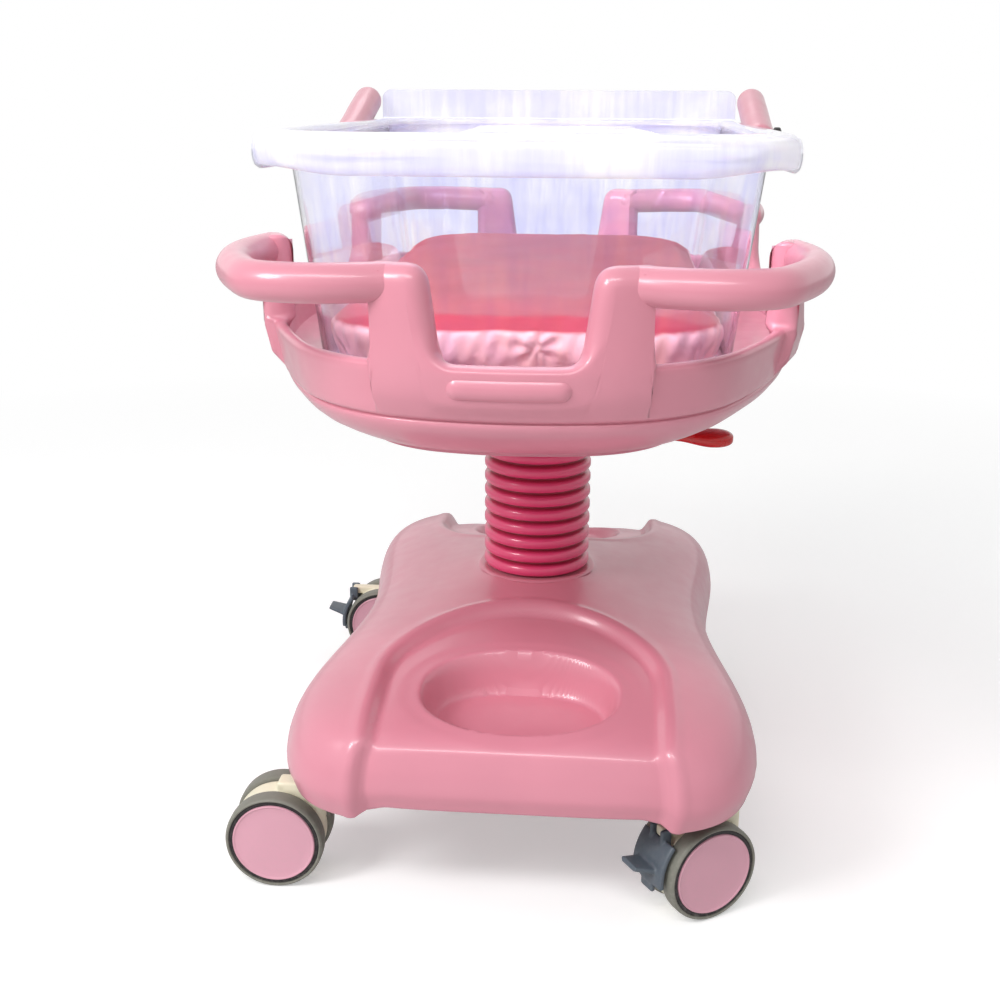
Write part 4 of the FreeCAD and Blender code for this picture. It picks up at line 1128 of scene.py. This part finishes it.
# ------------------------------------------------------------------ column
class BASSINET_OT_bellows(bpy.types.Operator):
    """Model the folded sleeve round the lifting column"""
    bl_idname = "bassinet.bellows"
    bl_label = "Bellows"

    def execute(self, context):
        s = sizes()
        low, top = s.collar_top * 1000, s.bellows_top * 1000
        crest, root = s.bellows_radius * 1000, s.bellows_root * 1000
        pitch = (top - low) / s.bellows_folds
        fold = ((0.03, 0.0), (0.10, 0.42), (0.19, 0.80), (0.32, 0.98), (0.48, 1.0), (0.64, 0.98),
                (0.80, 0.80), (0.90, 0.42), (0.97, 0.0))
        outside = [(root + (crest - root) * out, low + pitch * (i + share))
                   for i in range(s.bellows_folds) for share, out in fold]
        outside = [(root, low + 0.2)] + outside + [(root, top - 0.2)]
        inside = [(r - 1.8, z) for r, z in reversed(outside)]
        piece = turned("bellows_sleeve", outside + inside + outside[:1], 96)
        places = mesh_values(piece)
        radius = np.hypot(places[:, 0], places[:, 1]) * 1000
        # crest_share is 1 on the crests and 0 in the grooves, where the material paints shade
        point_mask(piece, "crest_share", eased((radius - root - 0.8) / (crest - root - 1.6)))
        soft_finished(piece, bellows_material())
        moved_over(piece)
        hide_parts("bellows")
        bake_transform(piece)
        return {"FINISHED"}


class BASSINET_OT_lever(bpy.types.Operator):
    """Model the red release lever under the tray"""
    bl_idname = "bassinet.lever"
    bl_label = "Release lever"

    def execute(self, context):
        line = spline([(97, -200, 461), (112, -200, 458), (130, -200, 454.6), (144, -200, 452.6),
                       (160, -200, 452), (180, -200, 452), (192, -200, 452),
                       (200.2, -200, 452)], 60)
        grown = eased((line[:, 0] - 146) / 34)
        tip = np.sqrt(np.clip(1 - np.clip((line[:, 0] - 182) / 18.6, 0, 1) ** 2, 0, 1))
        wide = np.maximum((4.6 + 12.2 * grown) * np.maximum(tip, 0.04), 0.05)
        thick = np.minimum((4.2 + 3.7 * grown) * np.maximum(tip, 0.04) ** 0.6, wide + 0.4)
        handle = swept("lever_handle", line, wide, 40, thick / wide, square=2.8)
        hub = turned("lever_hub", [(3.1, -8), (6.2, -8), (7, -7), (7, 7), (6.2, 8), (3.1, 8),
                                   (3.1, -8)], 40)
        on_axle(hub, 96, -200, 461)
        handle = joined("lever_handle", [handle, hub])
        finished(handle, 50, moulded("Red lever", colours().lever, gloss=0.22, grain=0.1,
                                     drift=0.06, coat=0.3))
        give(handle, "release_lever", "red_plastic", "release_lever")
        return {"FINISHED"}


# ------------------------------------------------------------------ casters
TYRE_LINE = ((44, 0.4), (47, 0.4), (48.8, 1.3), (49.7, 3.2), (50, 6), (50, 14), (49.7, 16.7),
             (48.9, 18.7), (47.6, 19.6), (46.4, 19.2), (46, 18), (46, 10), (44, 10), (44, 0.4))
# The near-black ring sits sunk between tyre and disc; the frame has no part for it.
DARK_RING_LINE = ((42, 10), (42, 17.6), (42.5, 18.4), (45.5, 18.4), (46, 17.8), (46, 10), (42, 10))
DISC_LINE = ((0, 15), (5.2, 15), (5.2, 0.5), (28, 0.5), (40, 1.4), (43.6, 3.4), (43.8, 4.2),
             (43.8, 10), (42, 10), (42, 18.6), (41.7, 19.5), (41, 19.9), (40.2, 19.7), (39.5, 19.1),
             (38.6, 18.8), (32, 18.6), (20, 18.3), (8, 18.2), (0, 18.2))


def boxed(name, x0, x1, y0, y1, z0, z1, bevel, steps=4):
    """A block with rounded edges, in millimetres."""
    clear_selection()
    bpy.ops.mesh.primitive_cube_add(size=1, location=((x0 + x1) / 2000, (y0 + y1) / 2000,
                                                      (z0 + z1) / 2000))
    piece = named(name)
    piece.scale = ((x1 - x0) / 1000, (y1 - y0) / 1000, (z1 - z0) / 1000)
    settle(piece)
    edit(piece)
    bpy.ops.mesh.bevel(offset=bevel / 1000, segments=steps, affect="EDGES")
    bpy.ops.object.mode_set(mode="OBJECT")
    return piece


def joined(name, pieces):
    clear_selection()
    for piece in pieces:
        piece.select_set(True)
    bpy.context.view_layer.objects.active = pieces[0]
    bpy.ops.object.join()
    return named(name)


def melted(piece, grain=0.0012, passes=5):
    """Run joined blocks into one moulded form with soft inner corners."""
    applied(piece, "REMESH", mode="VOXEL", voxel_size=grain)
    applied(piece, "SMOOTH", factor=0.5, iterations=passes)
    only(piece)
    bpy.ops.object.shade_smooth()
    return piece


def on_axle(piece, x, y, z, outward_y=-1):
    """Lay a piece that was turned about Z onto the axle, its face to one side."""
    piece.matrix_world = (Matrix.Translation((x / 1000, y / 1000, z / 1000))
                          @ Matrix.Rotation(-outward_y * math.pi / 2, 4, "X"))
    return settle(piece)


def caster_hood(braked):
    s = sizes()
    radius, trail = s.wheel_diameter * 500, s.caster_trail * 1000
    plate = turned("hood_plate", [(0, -12.6), (44, -12.6), (46, -11.4), (46.6, -9), (46.6, 9),
                                  (46, 11.4), (44, 12.6), (0, 12.6)], 96)
    on_axle(plate, -trail, 0, radius)
    boss = turned("hood_boss", [(0, 58), (10, 58), (11.6, 64), (11.9, 72), (11.9, 110.5),
                                (10.8, 111.8), (0, 111.8)], 48)
    web = boxed("hood_web", -trail, 2, -10.5, 10.5, 62, 106, 3)
    brow = boxed("hood_brow", -trail + 4, 9, -11.8, 11.8, 84, 104, 6)
    pieces = [plate, boss, web, brow]
    if braked:
        pieces.append(boxed("hood_lug", -trail - 45, -trail, -5.6, 5.6, 87, 98, 2))
    return melted(joined("hood", pieces))


def caster_pedal():
    s = sizes()
    radius, trail = s.wheel_diameter * 500, s.caster_trail * 1000
    turn = np.radians(np.linspace(40, -7, 18))
    line = [(-trail - 55.6 * math.cos(a), 0, radius + 55.6 * math.sin(a)) for a in turn]
    pad = swept("pedal_pad", line, [24.8] * len(line), 32, [0.125] * len(line), 5.5, (0, 1, 0))
    tongue_line = [(-trail - 54, 0, radius + 8), (-trail - 61, 0, radius + 10.4),
                   (-trail - 70, 0, radius + 13.2), (-trail - 79, 0, radius + 16)]
    tongue = swept("pedal_tongue", spline(tongue_line, 14), np.linspace(17.5, 12.5, 14), 32,
                   [0.22] * 14, 4.0, (0, 1, 0))
    cheeks = [boxed("pedal_cheek", -trail - 49, -trail - 37, y, y + 4.4, 78, 98, 1.8)
              for y in (-11.1, 6.7)]
    heel = boxed("pedal_heel", -trail - 57.6, -trail - 52.6, -10, 10, 33, 48, 2)
    return melted(joined("pedal", [pad, tongue, heel] + cheeks), 0.0011, 3)


class BASSINET_OT_casters(bpy.types.Operator):
    """Model the four twin-wheel casters, two of them with brake pedals"""
    bl_idname = "bassinet.casters"
    bl_label = "Casters"

    def execute(self, context):
        s, c = sizes(), colours()
        radius, trail = s.wheel_diameter * 500, s.caster_trail * 1000
        tyre_finish = moulded("Grey tyre", c.tyre, gloss=0.52, grain=0.5, drift=0.10, dust=0.5)
        dark_ring_finish = moulded("Black rim", c.rim, gloss=0.42, grain=0.2, drift=0.1, dust=0.25)
        disc_finish = moulded("Pink disc", c.disc, gloss=0.34, grain=0.16, drift=0.05, dust=0.12,
                              coat=0.1)
        hood_finish = moulded("Cream hood", c.hood, gloss=0.34, grain=0.15, drift=0.04, dust=0.2)
        pedal_finish = moulded("Grey pedal", c.pedal, gloss=0.40, grain=0.35, drift=0.06, dust=0.2)
        masters = {}
        for side, sign in (("near", -1), ("far", 1)):
            for kind, line, finish in (("tyre", TYRE_LINE, tyre_finish),
                                       ("rim", DARK_RING_LINE, dark_ring_finish),
                                       ("disc", DISC_LINE, disc_finish)):
                piece = turned(kind + "_" + side, line, 96)
                on_axle(piece, -trail, sign * 13, radius, sign)
                masters[kind, side] = finished(piece, 35, finish)
        hoods = {braked: painted(caster_hood(braked), hood_finish) for braked in (True, False)}
        pedal = painted(caster_pedal(), pedal_finish)
        slots = {"tyre": "tyre_rubber", "rim": "black_plastic", "disc": "pink_abs"}
        for corner, (x, y, yaw) in CASTER_PLACES.items():
            place = (Matrix.Translation((x / 1000, y / 1000, 0))
                     @ Matrix.Rotation(math.radians(yaw), 4, "Z"))
            for (kind, side), master in masters.items():
                twin = copy_turned(master, f"{corner}_{kind}_{side}", place)
                nodes = [] if kind == "rim" else [f"{corner}_caster_{kind}_{side}"]
                give(twin, f"{corner}_wheel_{side}", slots[kind], *nodes)
            hood = copy_turned(hoods[corner in BRAKED], corner + "_hood", place)
            give(hood, corner + "_caster", "cream_plastic", corner + "_caster_hood")
            if corner in BRAKED:
                twin = copy_turned(pedal, corner + "_pedal", place)
                give(twin, corner + "_pedal", "grey_plastic", corner + "_brake_pedal")
        clear_selection()
        for master in [*masters.values(), *hoods.values(), pedal]:
            master.select_set(True)
        bpy.ops.object.delete()
        return {"FINISHED"}


# ------------------------------------------------------------------ head-end grips
class BASSINET_OT_head_grips(bpy.types.Operator):
    """Model the two grips at the tub's head end and their knurled knobs"""
    bl_idname = "bassinet.head_grips"
    bl_label = "Head-end grips"

    def execute(self, context):
        s, c = sizes(), colours()
        x, y, radius = FLANGE_HALF_W + 18, 215, 17.9
        z = s.flange_height * 1000 - 19
        line, radii = round_ended(spline([(x, y, z), (x, y + 46, z + 13.2), (x, y + 90, z + 27),
                                          (x, y + 135, z + 40)], 24), radius, 9)
        grip = swept("right_arm", line, radii, 40)
        finished(grip, 60, moulding_material())
        knob = turned("right_knob", [(0, 0), (10.5, 0), (12.2, 0.6), (13, 1.8), (13, 6.6),
                                     (12.2, 8), (10, 9), (0, 9)], 72)
        places = mesh_values(knob)
        reach = np.hypot(places[:, 0], places[:, 1])
        turn = np.arctan2(places[:, 1], places[:, 0])
        ripple = 1 - 0.045 * (np.cos(turn * 18) > 0) * (reach > 0.0118)
        places[:, :2] *= ripple[:, None]
        set_vertices(knob, places)
        knob.matrix_world = (Matrix.Translation(((x + radius - 2.2) / 1000, y / 1000, z / 1000))
                             @ Matrix.Rotation(math.pi / 2, 4, "Y"))
        finished(settle(knob), 30, moulded("Dark knob", c.rim, gloss=0.45, grain=0.4, drift=0.1))
        twin_grip = copy_turned(grip, "left_arm", Matrix.Diagonal((-1, 1, 1, 1)), True)
        twin_knob = copy_turned(knob, "left_knob", Matrix.Diagonal((-1, 1, 1, 1)), True)
        knobs = joined("grip_screws", [knob, twin_knob])
        give(grip, "tub", "pink_abs", "right_head_grip")
        give(twin_grip, "tub", "pink_abs", "left_head_grip")
        give(knobs, "tub", "black_plastic", "grip_knobs")
        return {"FINISHED"}


# ------------------------------------------------------------------ frame nodes
class BASSINET_OT_fittings(bpy.types.Operator):
    """Give the frame, column, pins and screws their metal, paint and nylon"""
    bl_idname = "bassinet.fittings"
    bl_label = "Fittings"

    def execute(self, context):
        c = colours()
        zinc = brushed_metal("Zinc plate", (0.62, 0.63, 0.64), 0.38, "Z")
        drawn = brushed_metal("Drawn tube", (0.66, 0.67, 0.69), 0.26, "Z")
        chrome = brushed_metal("Chrome bar", (0.78, 0.79, 0.80), 0.12, "X")
        panel = moulded("Under panel", c.moulding, gloss=0.45, grain=0.2, dust=0.1)
        paint = moulded("Painted frame", srgb(226, 222, 220), gloss=0.38, grain=0.3, dust=0.5)
        nylon = moulded("White nylon", srgb(236, 234, 226), gloss=0.5, grain=0.2)
        black = moulded("Black paint", srgb(24, 24, 26), gloss=0.3, grain=0.15, dust=0.1)
        grey = moulded("Grey plastic", c.pedal, gloss=0.4, grain=0.35)
        finish = {"zinc_steel": zinc, "chrome_steel": chrome, "white_panel": panel,
                  "painted_steel": paint, "white_nylon": nylon, "black_paint": black,
                  "grey_plastic": grey, "black_plastic": grey, "pink_abs": moulding_material(),
                  "cream_plastic": grey, "tyre_rubber": grey, "red_plastic": grey}
        for part in frame["record"]["subparts"]:
            node = frame["nodes"].get(part["node"])
            if node is None or part["material_slot"] not in finish:
                continue
            chosen = finish[part["material_slot"]]
            painted(node, drawn if part["node"] == "column_outer_tube" else chosen)
        return {"FINISHED"}


# ------------------------------------------------------------------ stage
# name, place, point it looks at, width and height, power
LAMPS = (("key_lamp", (-1.9, -1.8, 2.0), (0, 0, 0.4), (1.0, 1.0), 42),
         ("front_lamp", (-0.3, -2.1, 2.5), (0, 0, 0.45), (3.0, 0.5), 34),
         ("back_lamp", (-0.3, 1.8, 2.6), (0, 0, 0.5), (1.4, 1.4), 8))
CAMERA_PLACE = (0.0764, -1.4482, 0.769)
CAMERA_YAW, CAMERA_PITCH, CAMERA_ROLL = 0.0826, 0.2996, 0.0057
CAMERA_LENS = 47.07
WHITE = (1, 1, 1, 1)


def soft_lamp(name, place, target, size, power):
    clear_selection()
    bpy.ops.object.light_add(type="AREA", location=place)
    lamp = named(name)
    lamp.data.shape = "ELLIPSE"
    lamp.data.size, lamp.data.size_y = size
    lamp.data.energy = power
    lamp.rotation_euler = (Vector(target) - Vector(place)).to_track_quat("-Z", "Y").to_euler()


def any_ray(tree, *kinds):
    """One where the ray is of any of these kinds."""
    path = add(tree, "LightPath").outputs
    seen = path[f"Is {kinds[0]} Ray"]
    for kind in kinds[1:]:
        seen = reckon(tree, "MAXIMUM", seen, path[f"Is {kind} Ray"])
    return seen


def surface_of(tree, output, share, first, second):
    """Send out one shader faded into another."""
    blend = fed(tree, add(tree, "MixShader"), {0: share, 1: first, 2: second})
    fed(tree, tree.nodes[output], {"Surface": blend.outputs[0]})


def pale_floor():
    """A pale floor that holds the shadow near the piece and fades to white further off."""
    clear_selection()
    bpy.ops.mesh.primitive_plane_add(size=40, location=(0, 0, -0.0002))
    floor = settle(named("pale_floor"))
    material, tree, shader = blank("Pale floor")
    where = object_place(tree)
    grain = spread(tree, noise(tree, where, 30.0, 4.0), 0.3, 0.7, 0.99, 1.01)
    seen = any_ray(tree, "Camera", "Transmission")
    fed(tree, shader, {"Base Color": toned(tree, (0.80, 0.80, 0.80, 1), grain),
                       "Roughness": 0.9, "Specular IOR Level": 0.1, "Emission Color": WHITE,
                       "Emission Strength": reckon(tree, "MULTIPLY", seen, 0.36)})
    reach = fed(tree, add(tree, "VectorMath", operation="LENGTH"), {0: where}).outputs["Value"]
    far = reckon(tree, "MULTIPLY", spread(tree, reach, 0.9, 2.4, 0.0, 1.0), seen)
    white = fed(tree, add(tree, "Emission"), {"Color": WHITE, "Strength": 1.0})
    surface_of(tree, "Material Output", far, shader.outputs[0], white.outputs[0])
    painted(floor, material)


def studio_world(scene):
    """A plain world that lights the piece softly and is white where it is seen."""
    scene.world = bpy.data.worlds.new("Studio")
    scene.world.use_nodes = True
    tree = scene.world.node_tree
    ambient = fed(tree, tree.nodes["Background"], {"Color": WHITE, "Strength": 0.47})
    plain = fed(tree, add(tree, "Background"), {"Color": WHITE, "Strength": 1.0})
    surface_of(tree, "World Output", any_ray(tree, "Camera", "Transmission", "Glossy"),
               ambient.outputs[0], plain.outputs[0])


def level_camera():
    yaw, pitch, roll = CAMERA_YAW, CAMERA_PITCH, CAMERA_ROLL
    ahead = Vector((-math.sin(yaw) * math.cos(pitch), math.cos(yaw) * math.cos(pitch),
                    -math.sin(pitch)))
    right = Vector((math.cos(yaw), math.sin(yaw), 0))
    up = right.cross(ahead)
    right, up = (right * math.cos(roll) + up * math.sin(roll),
                 up * math.cos(roll) - right * math.sin(roll))
    clear_selection()
    x, y, z = CAMERA_PLACE
    bpy.ops.object.camera_add(location=(x + sizes().column_x, y, z))
    camera = named("camera")
    turn = Matrix((right, up, -ahead)).transposed().to_4x4()
    camera.matrix_world = Matrix.Translation(camera.location) @ turn
    camera.data.lens = CAMERA_LENS
    camera.data.sensor_width = 36
    camera.data.clip_end = 100
    return camera


class BASSINET_OT_stage(bpy.types.Operator):
    """Set the pale floor, the soft lamps and the camera"""
    bl_idname = "bassinet.stage"
    bl_label = "Stage"

    def execute(self, context):
        scene = context.scene
        scene.view_settings.view_transform = "Standard"
        pale_floor()
        studio_world(scene)
        for lamp in LAMPS:
            soft_lamp(*lamp)
        scene.camera = level_camera()
        return {"FINISHED"}


# ------------------------------------------------------------------ panel and run
OPERATORS = (BASSINET_OT_base, BASSINET_OT_bellows, BASSINET_OT_tray, BASSINET_OT_lever,
             BASSINET_OT_tub, BASSINET_OT_mattress, BASSINET_OT_head_grips, BASSINET_OT_casters,
             BASSINET_OT_fittings, BASSINET_OT_stage)


class BASSINET_PT_panel(bpy.types.Panel):
    """Lists the bassinet's sizes, colours and pieces"""
    bl_idname = "BASSINET_PT_panel"
    bl_label = "Hospital bassinet"
    bl_space_type = "VIEW_3D"
    bl_region_type = "UI"
    bl_category = "Bassinet"

    def draw(self, context):
        layout = self.layout
        for group in (context.scene.bassinet_sizes, context.scene.bassinet_colours):
            box = layout.box()
            for name in group.bl_rna.properties.keys():
                if name not in ("rna_type", "name"):
                    box.prop(group, name)
        for operator in OPERATORS:
            layout.operator(operator.bl_idname)


CLASSES = (BassinetSizes, BassinetColours, *OPERATORS, BASSINET_PT_panel)


def register():
    for item in CLASSES:
        bpy.utils.register_class(item)
    bpy.types.Scene.bassinet_sizes = bpy.props.PointerProperty(type=BassinetSizes)
    bpy.types.Scene.bassinet_colours = bpy.props.PointerProperty(type=BassinetColours)


def unregister():
    del bpy.types.Scene.bassinet_sizes
    del bpy.types.Scene.bassinet_colours
    for item in reversed(CLASSES):
        bpy.utils.unregister_class(item)


def main():
    register()
    for operator in OPERATORS:
        getattr(bpy.ops.bassinet, operator.bl_idname.split(".")[1])()


if __name__ == "__main__":
    main()
